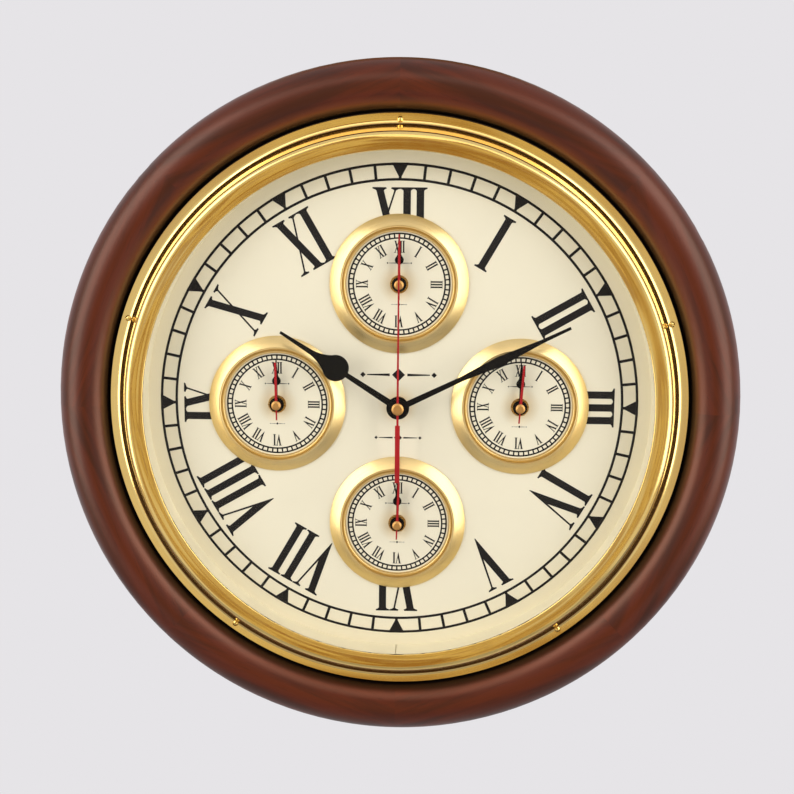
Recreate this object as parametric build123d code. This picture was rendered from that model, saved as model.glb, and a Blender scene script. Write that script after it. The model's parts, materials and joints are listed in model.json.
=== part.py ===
from build123d import *
import math
import os

# World time wall clock: a turned wooden ring, a spun brass bezel with flat glass, a cream dial with
# four small dials on it, and five quartz movements behind, one for the main hands and one for each
# small dial. The main movement has its whole wheel train, and the other four are sealed.
#
# The clock is drawn about its hand arbor in mm: X right, Y up, Z forward from the wall.
# place() turns it so that the dial faces -Y, and lowers it so that the origin is the entry hole of
# the wall hanger, on the wall plane.

# Fits
running = 0.07                # radial clearance of a turning arbor or pipe
seated = 0.03                 # radial clearance of a piece pushed onto its arbor
pilot = 0.05                  # radial clearance of a screw in its hole
drop_in = 0.3                 # radial clearance of a disc laid into a recess
end_shake = 0.1               # axial play of an arbor between its pivots

# Bezel, radii outwards from its opening and heights down from its crest
opening_radius = 150.7
band_width = 8.1              # to the crest
band_rise = 0.8
shoulder_width = 2.8
shoulder_drop = 1.85
wall_width = 2.6              # of the steep wall between shoulder and cove
cove_width = 4.1
cove_height = 2.75
flange_width = 3.6
bezel_sheet = 0.8
lip_roll = 2.4                # from the glass to the crest
lip_round = 0.5
glass_hem = 1.5               # rim behind the lip that keeps the glass central
bezel_screw_count = 5
bezel_screw_inset = 3.8       # from the bezel's edge
bezel_screw_head_radius = 1.8
bezel_screw_head_height = 1.1
bezel_screw_shank_radius = 1.0
bezel_screw_length = 8.0

# Glass and the strip that holds it off the dial
glass_thickness = 2.0
glass_bite = 2.0              # how far the bezel's lip covers the glass
glass_edge = 0.3
strip_setback = 0.9           # behind the bezel's opening
strip_thickness = 1.0
strip_seam = 0.4
glass_gap = 1.0               # from the cap of the second hand to the glass

# Wooden ring
moulding_radius = 15.35       # half-round front
moulding_rise = 4.0           # of the half-round's middle above the dial
lip_gap = 5.9                 # from the strip to the ring's lip
lip_width = 8.0               # lip that the dial is screwed against
lip_thickness = 9.2
quirk_depth = 3.0             # groove between the half-round and the bezel
quirk_gap = 0.6
ring_back_round = 1.5

# Dial
board_thickness = 5.0
dial_thickness = 0.8
board_screw_count = 6
board_screw_head_radius = 2.8
board_screw_head_height = 1.6
board_screw_shank_radius = 1.4
board_screw_length = 13.0
board_screw_start = 60.0      # angle of the first screw, clear of the hanger

# Small dials
small_dial_offset = 73.0
small_opening_radius = 32.0
small_face_bite = 2.6         # face that lies under the ring's inner edge
small_face_thickness = 1.5
small_cone_width = 6.6        # from the crest out to the rim
small_bezel_rim = 1.0
small_bezel_crest = 4.6       # above the main dial
small_crest_width = 0.9
small_step = 0.9              # width and height of the two steps down to the face

# Movement
knob_to_wall = 2.2
knob_height = 2.8
knob_radius = 6.0
knob_notch_count = 12
knob_notch_radius = 0.7
knob_stem_radius = 1.2
knob_stem_length = 4.0
knob_to_case = 0.2
case_depth = 16.0
case_wall = 1.2
case_corner = 3.0
cell_radius = 7.25            # AA
cell_length = 50.5
cell_button_radius = 2.75
cell_button_length = 1.0
cell_gap = 0.25
contact_size = 9.0
contact_sheet = 0.4
contact_spring = 1.5
contact_spring_radii = (3.5, 1.5)
bushing_radius = 4.0
bushing_above_nut = 0.3
washer_radius = 5.4
washer_thickness = 0.4
nut_thickness = 1.6
sealed_bore_depth = 8.0       # arbor bore of a sealed movement, in from its front

# Arbor and pipes, one inside the other
second_arbor_radius = 0.6
pipe_wall = 0.83
hour_pipe_wall = 0.93
pivot_radius = 0.5
pivot_depth = 0.8
pipe_step = 2.0               # each pipe of a sealed movement starts this far behind the next

# Wheel train: teeth, distances between arbors and heights above the back cover's inner face
arbor_circle = 9.3            # third and intermediate arbors, from the hand arbor
setting_arbor_extra = 0.7     # setting arbor, further out
rotor_distance = 7.2          # rotor, from the intermediate arbor
third_angle = 155.0
setting_angle = 60.0
intermediate_angle = -10.0
rotor_angle = 20.0
rotor_leaves = 8
intermediate_teeth = 40
intermediate_leaves = 8
second_teeth = 48
second_leaves = 8
third_teeth = 60
third_leaves = 8
centre_teeth = 64
cannon_leaves = 12
setting_teeth = 36
setting_leaves = 12
hour_teeth = 48
wheel_thickness = 0.8
leaf_overlap = 0.3            # a pinion reaches past its wheel on each side
second_wheel_level = 1.0
intermediate_wheel_level = 3.0
third_wheel_level = 3.0
centre_wheel_level = 5.8
setting_wheel_level = 8.2
hour_wheel_level = 10.8
setting_arbor_radius = 0.8
hub_radius = 3.2

# Tooth form in modules, and tooth thickness at the tip, pitch circle and root as a share of the pitch
addendum = 0.85
dedendum = 1.2
wheel_tooth = (0.16, 0.40, 0.48)
pinion_leaf = (0.14, 0.32, 0.34)

# Motor and electronics
magnet_radius = 2.6
magnet_height = 2.4
magnet_level = 5.4
rotor_hole_radius = 3.2
stator_leg_width = 8.6
stator_sheet = 1.2
stator_height = 33.0
stator_arm = 3.5
core_width = 3.0
coil_radius = 2.7
coil_flange_radius = 3.15
coil_flange_thickness = 0.8
coil_gap = 0.1
post_radius = 1.3
board_size = (20.0, 11.0)
board_sheet = 1.0
board_level = 8.6
board_inset = 1.3
crystal_radius = 1.0
crystal_length = 6.0

# Hands: heights between blades, and blades as lengths and widths
blade_thickness = 0.45
small_hand_spacing = 1.1
hand_spacing = 1.65
blade_to_bushing = 0.4
sweep_gap = 1.8               # main hour hand over the caps of the small hands
cap_radius = 2.75
cap_height = 1.5
cap_bore_depth = 0.8
cap_flat_radius = 1.75
cap_bevel = 0.6
hour_hand_angle = 302.6       # clockwise from 12
minute_hand_angle = 64.0
small_second_angles = {"top": 0.0, "right": 4.0, "bottom": 2.0, "left": -1.0}

hour_hub_radius = 6.8
hour_length = 83.0
hour_stem = (4.2, 2.7)
hour_bulb_at = 44.0
hour_bulb_radius = 7.9
hour_tip = 1.6
hour_collet_radius = 4.0
hour_collet_height = 2.0
minute_hub_radius = 5.8
minute_length = 112.5
minute_stem = (3.8, 2.8)
minute_stem_length = 42.0
minute_leaf_at = 66.5
minute_leaf_width = 6.0
minute_neck_at = 94.0
minute_tip = 1.7
second_hub_radius = 3.5
second_length = 103.0
second_needle = (1.3, 0.8)
second_tail_stem = 10.0
second_tail_length = 45.0
second_tail_width = 2.9
small_hour_hub_radius = 4.3
small_hour_length = 22.0
small_hour_stem = (1.5, 1.1)
small_hour_bulb_at = 14.5
small_hour_bulb_radius = 2.6
small_hour_tip = 0.7
small_minute_hub_radius = 3.6
small_minute_length = 28.0
small_minute_stem = (1.2, 1.0)
small_minute_stem_length = 12.0
small_minute_leaf_at = 18.0
small_minute_leaf_width = 2.3
small_minute_neck_at = 24.0
small_minute_tip = 0.7
small_second_length = 26.0
small_second_needle = (1.6, 1.3)
small_second_tail = 9.0
small_second_tail_width = 0.9

# Leaf's half width at its neck, in tip widths
leaf_neck = 0.65

# Spade outline from the bulb's centre, in bulb radii: half width and distance along the hand
spade_shoulder = (0.91, 0.41)
spade_waist = (0.42, 1.24)
spade_neck = (0.19, 2.2)

# Wall hanger, let into the back of the ring
hanger_plate_width = 40.0
hanger_plate_height = 24.0
hanger_plate_thickness = 1.5
hanger_plate_corner = 3.0
hanger_entry_radius = 4.5
hanger_slot_radius = 2.25
hanger_travel = 8.0
hanger_pocket_depth = 9.0
hanger_pocket_margin = 1.5
hanger_screw_spacing = 30.0
hanger_screw_head_radius = 2.9
hanger_screw_shank_radius = 1.4
hanger_screw_length = 14.0

# Radii worked out from the bezel's opening
flange_inner = opening_radius + band_width + shoulder_width + wall_width + cove_width
bezel_radius = flange_inner + flange_width
bezel_screw_circle = bezel_radius - bezel_screw_inset
glass_radius = opening_radius + glass_bite
strip_radius = opening_radius + strip_setback
lip_bore_radius = strip_radius + strip_thickness + lip_gap
board_radius = lip_bore_radius + lip_width
recess_radius = board_radius + drop_in
board_screw_circle = (lip_bore_radius + board_radius) / 2
moulding_centre = bezel_radius + quirk_gap + moulding_radius
ring_radius = moulding_centre + moulding_radius
hanger_radius = moulding_centre - hanger_travel / 2
small_face_radius = small_opening_radius + small_face_bite
small_bezel_bore = small_face_radius + drop_in
small_crest_radius = small_opening_radius + 2 * small_step + small_crest_width
small_bezel_radius = small_crest_radius + small_cone_width

# Arbor stack
minute_pipe_bore = second_arbor_radius + running
minute_pipe_radius = minute_pipe_bore + pipe_wall
hour_pipe_bore = minute_pipe_radius + running
hour_pipe_radius = hour_pipe_bore + hour_pipe_wall
bushing_bore = hour_pipe_radius + running

# Heights from the wall
case_back = knob_to_wall + knob_height + knob_to_case
case_front = case_back + case_depth
cover_face = case_back + case_wall
front_wall = case_front - case_wall
board_front = case_front + board_thickness
dial_front = board_front + dial_thickness
small_face_front = dial_front + small_face_thickness
nut_stack = washer_thickness + nut_thickness + bushing_above_nut
small_bushing_end = small_face_front + nut_stack
main_bushing_end = dial_front + nut_stack
small_hour_height = small_bushing_end + blade_to_bushing
small_minute_height = small_hour_height + small_hand_spacing
small_second_height = small_minute_height + small_hand_spacing
small_cap_top = small_second_height + blade_thickness + cap_height
hour_height = small_cap_top + sweep_gap
minute_height = hour_height + hand_spacing
second_height = minute_height + hand_spacing
cap_base = second_height + blade_thickness
glass_back = cap_base + cap_height + glass_gap
glass_front = glass_back + glass_thickness
bezel_crest = glass_front + lip_roll
moulding_height = dial_front + moulding_rise
seat_height = dial_front + lip_thickness
flange_front = seat_height + bezel_sheet

# Wheel positions and modules
setting_arbor_circle = arbor_circle + setting_arbor_extra


def polar(radius, angle):
    """Point at an angle anticlockwise from +X."""
    return (radius * math.cos(math.radians(angle)), radius * math.sin(math.radians(angle)))


def module_for(distance, wheel_teeth, leaves):
    """Module that puts a wheel and a pinion in mesh at a centre distance."""
    return 2 * distance / (wheel_teeth + leaves)


third_place = polar(arbor_circle, third_angle)
setting_place = polar(setting_arbor_circle, setting_angle)
intermediate_place = polar(arbor_circle, intermediate_angle)
rotor_offset = polar(rotor_distance, rotor_angle)
rotor_place = (intermediate_place[0] + rotor_offset[0], intermediate_place[1] + rotor_offset[1])
motor_module = module_for(rotor_distance, intermediate_teeth, rotor_leaves)
second_module = module_for(arbor_circle, second_teeth, intermediate_leaves)
third_module = module_for(arbor_circle, third_teeth, second_leaves)
centre_module = module_for(arbor_circle, centre_teeth, third_leaves)
setting_module = module_for(setting_arbor_circle, setting_teeth, cannon_leaves)
hour_module = module_for(setting_arbor_circle, hour_teeth, setting_leaves)

# Case, as large as its cell, its motor and its wheels need
largest_wheel = centre_module * (centre_teeth / 2 + addendum)
mechanism_floor = -(largest_wheel + 2 * case_wall)
bay_top = mechanism_floor - case_wall
bay_width = 2 * (cell_radius + cell_gap)
bay_bottom = bay_top - bay_width
bay_half = cell_length / 2 + contact_sheet + contact_spring / 2
coil_x = rotor_place[0] + stator_leg_width / 2 + coil_gap + coil_flange_radius
case_half = max(bay_half, -bay_bottom, coil_x + coil_flange_radius + coil_gap) + case_wall
case_inner = case_half - case_wall
cell_y = bay_top - bay_width / 2
cell_z = case_back + cell_radius + cell_gap

small_dials = {
    "top": (0, small_dial_offset),
    "right": (small_dial_offset, 0),
    "bottom": (0, -small_dial_offset),
    "left": (-small_dial_offset, 0),
}
all_dials = {"main": (0, 0), **small_dials}


def place(piece):
    """Move a piece from the drawing frame to the wall frame."""
    return Pos(0, 0, -hanger_radius) * Rot(90, 0, 0) * piece


def save(name, *pieces):
    """Write a node, as one solid or as a group of like solids."""
    placed = [place(piece).solid() for piece in pieces]
    node = placed[0] if len(placed) == 1 else Compound(children=placed)
    export_step(node, f"parts/{name}.step")


def disc(radius, bottom, top, at=(0, 0)):
    """Round bar or disc, between two heights."""
    return Pos(at[0], at[1], bottom) * extrude(Circle(radius), amount=top - bottom)


def tube(radius, bore, bottom, top, at=(0, 0)):
    """Pipe or ring, between two heights."""
    return Pos(at[0], at[1], bottom) * extrude(Circle(radius) - Circle(bore), amount=top - bottom)


def slab(low, high, bottom, top):
    """Upright block over a rectangle from its low to its high corner."""
    middle = Pos((low[0] + high[0]) / 2, (low[1] + high[1]) / 2, bottom)
    return middle * extrude(Rectangle(high[0] - low[0], high[1] - low[1]), amount=top - bottom)


def turned(edges):
    """Turn a closed half-section, drawn as (radius, height), about the hand arbor."""
    return revolve(Plane.XZ * make_face(edges), Axis.Z)


def arc_between(start, end, bulge):
    """Arc that stands off its chord by a bulge, to the left of the way from start to end."""
    along = (end[0] - start[0], end[1] - start[1])
    length = math.hypot(*along)
    middle = ((start[0] + end[0]) / 2 - along[1] / length * bulge,
              (start[1] + end[1]) / 2 + along[0] / length * bulge)
    return ThreePointArc(start, middle, end)


def around(radius, count, start=90.0):
    """Places evenly round the arbor, the first at 12 o'clock unless a start is given."""
    return [polar(radius, start + 360 * i / count) for i in range(count)]


# Case of the clock
def wooden_ring():
    """Turned ring: half-round front, seat for the bezel, lip for the dial and an open back."""
    floor = seat_height - quirk_depth
    seat_radius = bezel_radius + quirk_gap / 2
    groove = moulding_centre - math.sqrt(moulding_radius ** 2 - (floor - moulding_height) ** 2)
    crest = (moulding_centre, moulding_height + moulding_radius)
    edge_inner = (ring_radius - ring_back_round, 0)
    edge_outer = (ring_radius, ring_back_round)
    ring = turned([
        *Polyline((groove, floor), (seat_radius, floor), (seat_radius, seat_height),
                  (lip_bore_radius, seat_height), (lip_bore_radius, dial_front),
                  (recess_radius, dial_front), (recess_radius, 0), edge_inner).edges(),
        RadiusArc(edge_inner, edge_outer, -ring_back_round),
        Line(edge_outer, (ring_radius, moulding_height)),
        ThreePointArc((ring_radius, moulding_height), crest, (groove, floor)),
    ])
    bezel_tip = flange_front - bezel_screw_length - end_shake
    board_tip = case_front + board_screw_length + end_shake
    holes = [disc(bezel_screw_shank_radius + pilot, bezel_tip, seat_height, at)
             for at in around(bezel_screw_circle, bezel_screw_count)]
    holes += [disc(board_screw_shank_radius + pilot, dial_front, board_tip, at)
              for at in around(board_screw_circle, board_screw_count, board_screw_start)]
    plate_bed = RectangleRounded(hanger_plate_width + 2 * end_shake,
                                 hanger_plate_height + 2 * end_shake, hanger_plate_corner)
    holes.append(Pos(0, moulding_centre, 0) * extrude(plate_bed, amount=hanger_plate_thickness))
    pocket_width = 2 * (hanger_entry_radius + hanger_pocket_margin)
    pocket = SlotCenterToCenter(hanger_travel, pocket_width, rotation=90)
    holes.append(Pos(0, moulding_centre, hanger_plate_thickness)
                 * extrude(pocket, amount=hanger_pocket_depth))
    holes += [disc(hanger_screw_shank_radius + pilot, 0, hanger_screw_length + end_shake, at)
              for at in hanger_screw_places()]
    return ring - holes


def bezel():
    """Spun brass bezel: broad band, rounded shoulder, steep wall, cove and a screwed flange."""
    lip = (opening_radius, bezel_crest - band_rise - lip_round)
    crown = (opening_radius + lip_round, bezel_crest - band_rise)
    crest = (opening_radius + band_width, bezel_crest)
    wall_top = (crest[0] + shoulder_width, bezel_crest - shoulder_drop)
    wall_foot = (wall_top[0] + wall_width, flange_front + cove_height)
    cove_foot = (flange_inner, flange_front)
    glass_seat = glass_radius + 2 * drop_in
    hem_foot = glass_front - glass_hem
    under = [
        (bezel_radius, flange_front), (bezel_radius, seat_height),
        (flange_inner - cove_height, seat_height),
        (wall_foot[0] - bezel_sheet, wall_foot[1] - bezel_sheet / 2),
        (wall_top[0] - bezel_sheet, wall_top[1] - bezel_sheet / 2),
        (crest[0], bezel_crest - bezel_sheet),
        (glass_seat + bezel_sheet, crown[1] - bezel_sheet / 2),
        (glass_seat + bezel_sheet, hem_foot), (glass_seat, hem_foot),
        (glass_seat, glass_front), (opening_radius, glass_front), lip,
    ]
    shell = turned([
        RadiusArc(lip, crown, lip_round),
        TangentArc(crest, crown, tangent=(-1, 0)),
        TangentArc(crest, wall_top, tangent=(1, 0)),
        Line(wall_top, wall_foot),
        TangentArc(cove_foot, wall_foot, tangent=(-1, 0)),
        *Polyline(cove_foot, *under).edges(),
    ])
    places = around(bezel_screw_circle, bezel_screw_count)
    holes = [disc(bezel_screw_shank_radius + pilot, seat_height, flange_front, at) for at in places]
    beds = [disc(bezel_screw_head_radius + pilot, flange_front, flange_front + cove_height, at)
            for at in places]
    return shell - holes - beds


def round_head_screw(at, face, head_radius, head_height, shank_radius, length, way):
    """Round-headed screw on a face, its shank running along way, +1 or -1 in Z."""
    dome_radius = (head_radius ** 2 + head_height ** 2) / (2 * head_height)
    rim = math.degrees(math.asin((dome_radius - head_height) / dome_radius))
    head = turned([
        Line((0, 0), (head_radius, 0)),
        CenterArc((0, head_height - dome_radius), dome_radius, rim, 90 - rim),
        Line((0, head_height), (0, 0)),
    ])
    screw = head + disc(shank_radius, -length, 0)
    if way > 0:
        screw = Rot(180, 0, 0) * screw
    return Pos(at[0], at[1], face) * screw


def bezel_screws():
    """Brass screws that hold the bezel to the ring."""
    return [round_head_screw(at, flange_front, bezel_screw_head_radius, bezel_screw_head_height,
                             bezel_screw_shank_radius, bezel_screw_length, -1)
            for at in around(bezel_screw_circle, bezel_screw_count)]


def board_screws():
    """Screws that hold the dial and its board against the ring's lip, from behind."""
    return [round_head_screw(at, case_front, board_screw_head_radius, board_screw_head_height,
                             board_screw_shank_radius, board_screw_length, 1)
            for at in around(board_screw_circle, board_screw_count, board_screw_start)]


def glass():
    """Flat glass behind the bezel's lip."""
    pane = disc(glass_radius, glass_back, glass_front)
    return chamfer(pane.edges(), glass_edge)


def spacer_strip():
    """Cream strip rolled into a ring between dial and glass, butted at 6 o'clock."""
    ring = tube(strip_radius + strip_thickness, strip_radius, dial_front, glass_back)
    seam = slab((-strip_seam / 2, -strip_radius - 2 * strip_thickness),
                (strip_seam / 2, -strip_radius + strip_thickness), dial_front, glass_back)
    return ring - seam


def dial_disc(bottom, top):
    """Disc with holes for the bushings and for the screws at its rim."""
    holes = [disc(bushing_radius + pilot, bottom, top, at) for at in all_dials.values()]
    holes += [disc(board_screw_shank_radius + pilot, bottom, top, at)
              for at in around(board_screw_circle, board_screw_count, board_screw_start)]
    return disc(board_radius, bottom, top) - holes


def small_face(at):
    """Face plate of a small dial, laid on the main dial."""
    return tube(small_face_radius, bushing_radius + pilot, dial_front, small_face_front, at)


def small_bezel(at):
    """Satin brass ring of a small dial: a cone up to a crest, then two steps down to the face."""
    crest = dial_front + small_bezel_crest
    corners = [
        (small_bezel_bore, dial_front), (small_bezel_radius, dial_front),
        (small_bezel_radius, dial_front + small_bezel_rim),
        (small_crest_radius, crest), (small_crest_radius - small_crest_width, crest),
        (small_opening_radius + small_step, crest - small_step),
        (small_opening_radius + small_step, crest - 2 * small_step),
        (small_opening_radius, crest - 2 * small_step),
        (small_opening_radius, small_face_front), (small_bezel_bore, small_face_front),
    ]
    ring = turned(Polyline(*corners, close=True).edges())
    return Pos(at[0], at[1], 0) * ring


# Wall hanger
def hanger_screw_places():
    """Two screws, beside the keyhole."""
    return [(side * hanger_screw_spacing / 2, moulding_centre) for side in (-1, 1)]


def hanger_plate():
    """Steel keyhole plate: a screw head goes in at the round hole and rides up the slot."""
    plate = Pos(0, moulding_centre, 0) * extrude(
        RectangleRounded(hanger_plate_width, hanger_plate_height, hanger_plate_corner),
        amount=hanger_plate_thickness)
    slot_end = hanger_radius + hanger_travel
    keyhole = [
        disc(hanger_entry_radius, 0, hanger_plate_thickness, (0, hanger_radius)),
        slab((-hanger_slot_radius, hanger_radius), (hanger_slot_radius, slot_end), 0,
             hanger_plate_thickness),
        disc(hanger_slot_radius, 0, hanger_plate_thickness, (0, slot_end)),
    ]
    sinks = [countersunk(at, pilot) for at in hanger_screw_places()]
    return plate - keyhole - sinks


def countersunk(at, margin):
    """Cone of a countersunk head through the hanger plate."""
    cone = loft([Circle(hanger_screw_head_radius + margin),
                 Pos(0, 0, hanger_plate_thickness) * Circle(hanger_screw_shank_radius + margin)])
    return Pos(at[0], at[1], 0) * cone


def hanger_screw(at):
    """Countersunk wood screw, flush with the hanger plate."""
    return countersunk(at, 0) + disc(hanger_screw_shank_radius, hanger_plate_thickness,
                                     hanger_screw_length, at)


# Movements
def battery_bay():
    """Room for one cell and its two contacts, open to the back."""
    return slab((-bay_half, bay_bottom), (bay_half, bay_top), case_back, front_wall)


def case_block():
    """Square case with rounded corners."""
    outline = RectangleRounded(2 * case_half, 2 * case_half, case_corner)
    return Pos(0, 0, case_back) * extrude(outline, amount=case_depth)


def above_cover_edge(bottom, top):
    """The part of the case above the battery bay, which the back cover closes."""
    return slab((-case_half, mechanism_floor - case_wall / 2), (case_half, case_half), bottom, top)


def pivot_hole(at, bottom):
    """Blind hole for the end of an arbor."""
    return disc(pivot_radius + running, bottom, bottom + pivot_depth, at)


def main_case():
    """Front tray of the main movement, with its threaded bushing and the posts inside."""
    cavity = slab((-case_inner, mechanism_floor), (case_inner, case_inner), case_back, front_wall)
    tray = case_block() - [cavity, battery_bay(), above_cover_edge(case_back, cover_face)]
    stator_back = cover_face + magnet_level + stator_sheet
    tray += [disc(post_radius, stator_back, front_wall, at) for at in stator_posts()]
    tray += [disc(post_radius, cover_face + board_level + board_sheet, front_wall, at)
             for at in circuit_posts()]
    tray += disc(bushing_radius, case_front, main_bushing_end)
    pivots = [pivot_hole(at, front_wall)
              for at in (third_place, intermediate_place, rotor_place, setting_place)]
    return tray - [disc(bushing_bore, front_wall, main_bushing_end), *pivots]


def main_cover():
    """Back cover of the main movement, with the rear pivots and the hole for the setting arbor."""
    outline = case_block() & above_cover_edge(case_back, cover_face)
    pivots = [pivot_hole(at, cover_face - pivot_depth)
              for at in ((0, 0), third_place, intermediate_place, rotor_place)]
    return outline - [*pivots, disc(setting_arbor_radius + running, case_back, cover_face, setting_place)]


def sealed_movement(at):
    """Movement of a small dial, closed for good: case, bay, bushing and setting socket."""
    bore = disc(bushing_bore, case_front - sealed_bore_depth, small_bushing_end)
    socket = disc(knob_stem_radius + running, case_back, case_back + knob_stem_length, setting_place)
    block = case_block() - battery_bay() + disc(bushing_radius, case_front, small_bushing_end)
    return Pos(at[0], at[1], 0) * (block - [bore, socket])


def bushing_washer(at, face):
    """Brass washer under a bushing nut."""
    return tube(washer_radius, bushing_radius + pilot, face, face + washer_thickness, at)


def bushing_nut(at, face):
    """Brass hexagon nut that clamps a movement to the dial."""
    hexagon = RegularPolygon(washer_radius, 6) - Circle(bushing_radius + pilot)
    return Pos(at[0], at[1], face + washer_thickness) * extrude(hexagon, amount=nut_thickness)


def along_bay(piece, at):
    """Lay a piece drawn along Z into a battery bay, along X."""
    return Pos(at[0], at[1] + cell_y, cell_z) * Rot(0, 90, 0) * piece


def cell(at):
    """AA cell with its positive button to the right."""
    button_end = bay_half - contact_sheet
    shoulder = button_end - cell_button_length
    can = disc(cell_radius, button_end - cell_length, shoulder)
    return along_bay(can + disc(cell_button_radius, shoulder, button_end), at)


def cell_contacts(at):
    """Plate behind the cell's button and sprung plate behind its base."""
    plate = Box(contact_size, contact_size, contact_sheet)
    positive = Pos(0, 0, bay_half - contact_sheet / 2) * plate
    wide, narrow = contact_spring_radii
    spring = Pos(0, 0, contact_sheet / 2) * loft([Circle(wide), Pos(0, 0, contact_spring) * Circle(narrow)])
    negative = Pos(0, 0, contact_sheet / 2 - bay_half) * (plate + spring)
    return [along_bay(positive, at), along_bay(negative, at)]


def setting_knob():
    """Notched knob behind the case."""
    notches = [Pos(*at) * Circle(knob_notch_radius) for at in around(knob_radius, knob_notch_count)]
    outline = Circle(knob_radius) - notches
    return Pos(setting_place[0], setting_place[1], knob_to_wall) * extrude(outline, amount=knob_height)


def small_setting_knob(at):
    """Setting knob of a sealed movement, with its stem."""
    knob = setting_knob() + disc(knob_stem_radius, knob_to_wall + knob_height,
                                 case_back + knob_stem_length - end_shake, setting_place)
    return Pos(at[0], at[1], 0) * knob


# Wheel train of the main movement
def gear_outline(teeth, module, shares, turn=0.0):
    """Toothed outline, its first tooth at an angle anticlockwise from +X."""
    pitch = 2 * math.pi / teeth
    radii = [module * (teeth / 2 + addendum), module * teeth / 2, module * (teeth / 2 - dedendum)]
    halves = [share * pitch / 2 * (teeth / 2 * module) / radius for share, radius in zip(shares, radii)]
    flank = list(zip(radii, halves))
    points = []
    for i in range(teeth):
        middle = math.radians(turn) + i * pitch
        for radius, half in flank[::-1]:
            points.append((radius * math.cos(middle - half), radius * math.sin(middle - half)))
        for radius, half in flank:
            points.append((radius * math.cos(middle + half), radius * math.sin(middle + half)))
    return make_face(Polyline(*points, close=True).edges())


def wheel(teeth, module, level, turn=0.0):
    """Toothed wheel at a height above the cover's inner face."""
    outline = gear_outline(teeth, module, wheel_tooth, turn)
    return Pos(0, 0, cover_face + level) * extrude(outline, amount=wheel_thickness)


def pinion(leaves, module, level, turn=0.0):
    """Pinion long enough to pass both faces of the wheel that it meshes with at that level."""
    outline = gear_outline(leaves, module, pinion_leaf, turn)
    length = wheel_thickness + 2 * leaf_overlap
    return Pos(0, 0, cover_face + level - leaf_overlap) * extrude(outline, amount=length)


def mesh_turn(teeth, direction):
    """Turn that sets a gap of a toothed outline on the line of centres."""
    return direction + 180.0 / teeth


def pivoted_arbor():
    """Arbor that runs in the cover and in the front wall."""
    return disc(pivot_radius, cover_face - pivot_depth + end_shake, front_wall + pivot_depth - end_shake)


def second_wheel():
    """Second wheel and pinion on the long arbor that carries the second hand."""
    arbor = disc(pivot_radius, cover_face - pivot_depth + end_shake, cover_face + end_shake)
    arbor += disc(second_arbor_radius, cover_face + end_shake, cap_base + cap_bore_depth - end_shake)
    return (arbor + wheel(second_teeth, second_module, second_wheel_level, intermediate_angle)
            + pinion(second_leaves, third_module, third_wheel_level, third_angle))


def third_wheel():
    """Third wheel and pinion, from the second wheel to the centre wheel."""
    facing = third_angle + 180
    gear = (pivoted_arbor()
            + wheel(third_teeth, third_module, third_wheel_level, mesh_turn(third_teeth, facing))
            + pinion(third_leaves, centre_module, centre_wheel_level, facing))
    return Pos(*third_place) * gear


def intermediate_wheel():
    """Intermediate wheel and pinion, from the rotor to the second wheel."""
    facing = intermediate_angle + 180
    gear = (pivoted_arbor()
            + wheel(intermediate_teeth, motor_module, intermediate_wheel_level, rotor_angle)
            + pinion(intermediate_leaves, second_module, second_wheel_level,
                     mesh_turn(intermediate_leaves, facing)))
    return Pos(*intermediate_place) * gear


def rotor():
    """Magnet and pinion of the stepping motor."""
    magnet = cover_face + magnet_level + stator_sheet / 2 - magnet_height / 2
    gear = (pivoted_arbor() + disc(magnet_radius, magnet, magnet + magnet_height)
            + pinion(rotor_leaves, motor_module, intermediate_wheel_level,
                     mesh_turn(rotor_leaves, rotor_angle + 180)))
    return Pos(*rotor_place) * gear


def centre_wheel():
    """Centre wheel, which drives the minute pipe through friction."""
    bottom = cover_face + centre_wheel_level
    gear = wheel(centre_teeth, centre_module, centre_wheel_level, mesh_turn(centre_teeth, third_angle))
    return gear - disc(minute_pipe_radius + running, bottom, bottom + wheel_thickness)


def minute_pipe():
    """Minute pipe with its shoulder on the centre wheel and the cannon pinion above."""
    wheel_top = cover_face + centre_wheel_level + wheel_thickness
    pinion_bottom = cover_face + setting_wheel_level - leaf_overlap
    top = minute_height + blade_thickness
    body = (disc(minute_pipe_radius, wheel_top - 2 * wheel_thickness, top)
            + disc(hub_radius, wheel_top + running, pinion_bottom)
            + pinion(cannon_leaves, setting_module, setting_wheel_level, setting_angle))
    return body - disc(minute_pipe_bore, wheel_top - 2 * wheel_thickness, top)


def setting_wheel():
    """Setting wheel and pinion, from the cannon pinion to the hour wheel, on the knob's arbor."""
    facing = setting_angle + 180
    arbor = disc(setting_arbor_radius, knob_to_wall, front_wall - end_shake)
    arbor += disc(pivot_radius, front_wall - end_shake, front_wall + pivot_depth - end_shake)
    gear = (arbor
            + wheel(setting_teeth, setting_module, setting_wheel_level, mesh_turn(setting_teeth, facing))
            + pinion(setting_leaves, hour_module, hour_wheel_level, facing))
    return Pos(*setting_place) * gear


def hour_wheel():
    """Hour wheel on the pipe that carries the hour hand."""
    gear_bottom = cover_face + hour_wheel_level
    hub_bottom = cover_face + setting_wheel_level + wheel_thickness + leaf_overlap + end_shake
    top = hour_height + blade_thickness
    body = (wheel(hour_teeth, hour_module, hour_wheel_level, mesh_turn(hour_teeth, setting_angle))
            + disc(hub_radius, hub_bottom, gear_bottom) + disc(hour_pipe_radius, gear_bottom, top))
    return body - disc(hour_pipe_bore, hub_bottom, top)


# Motor and electronics of the main movement
def stator_posts():
    """Posts under the two arms of the stator."""
    top = rotor_place[1] + stator_height / 2 - stator_arm / 2 + stator_rise()
    return [(rotor_place[0], top), (rotor_place[0], top - stator_height + stator_arm)]


def stator_rise():
    """How far the stator stands above the rotor's middle, to fill the case's height."""
    return (mechanism_floor + case_inner) / 2 - rotor_place[1]


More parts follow.
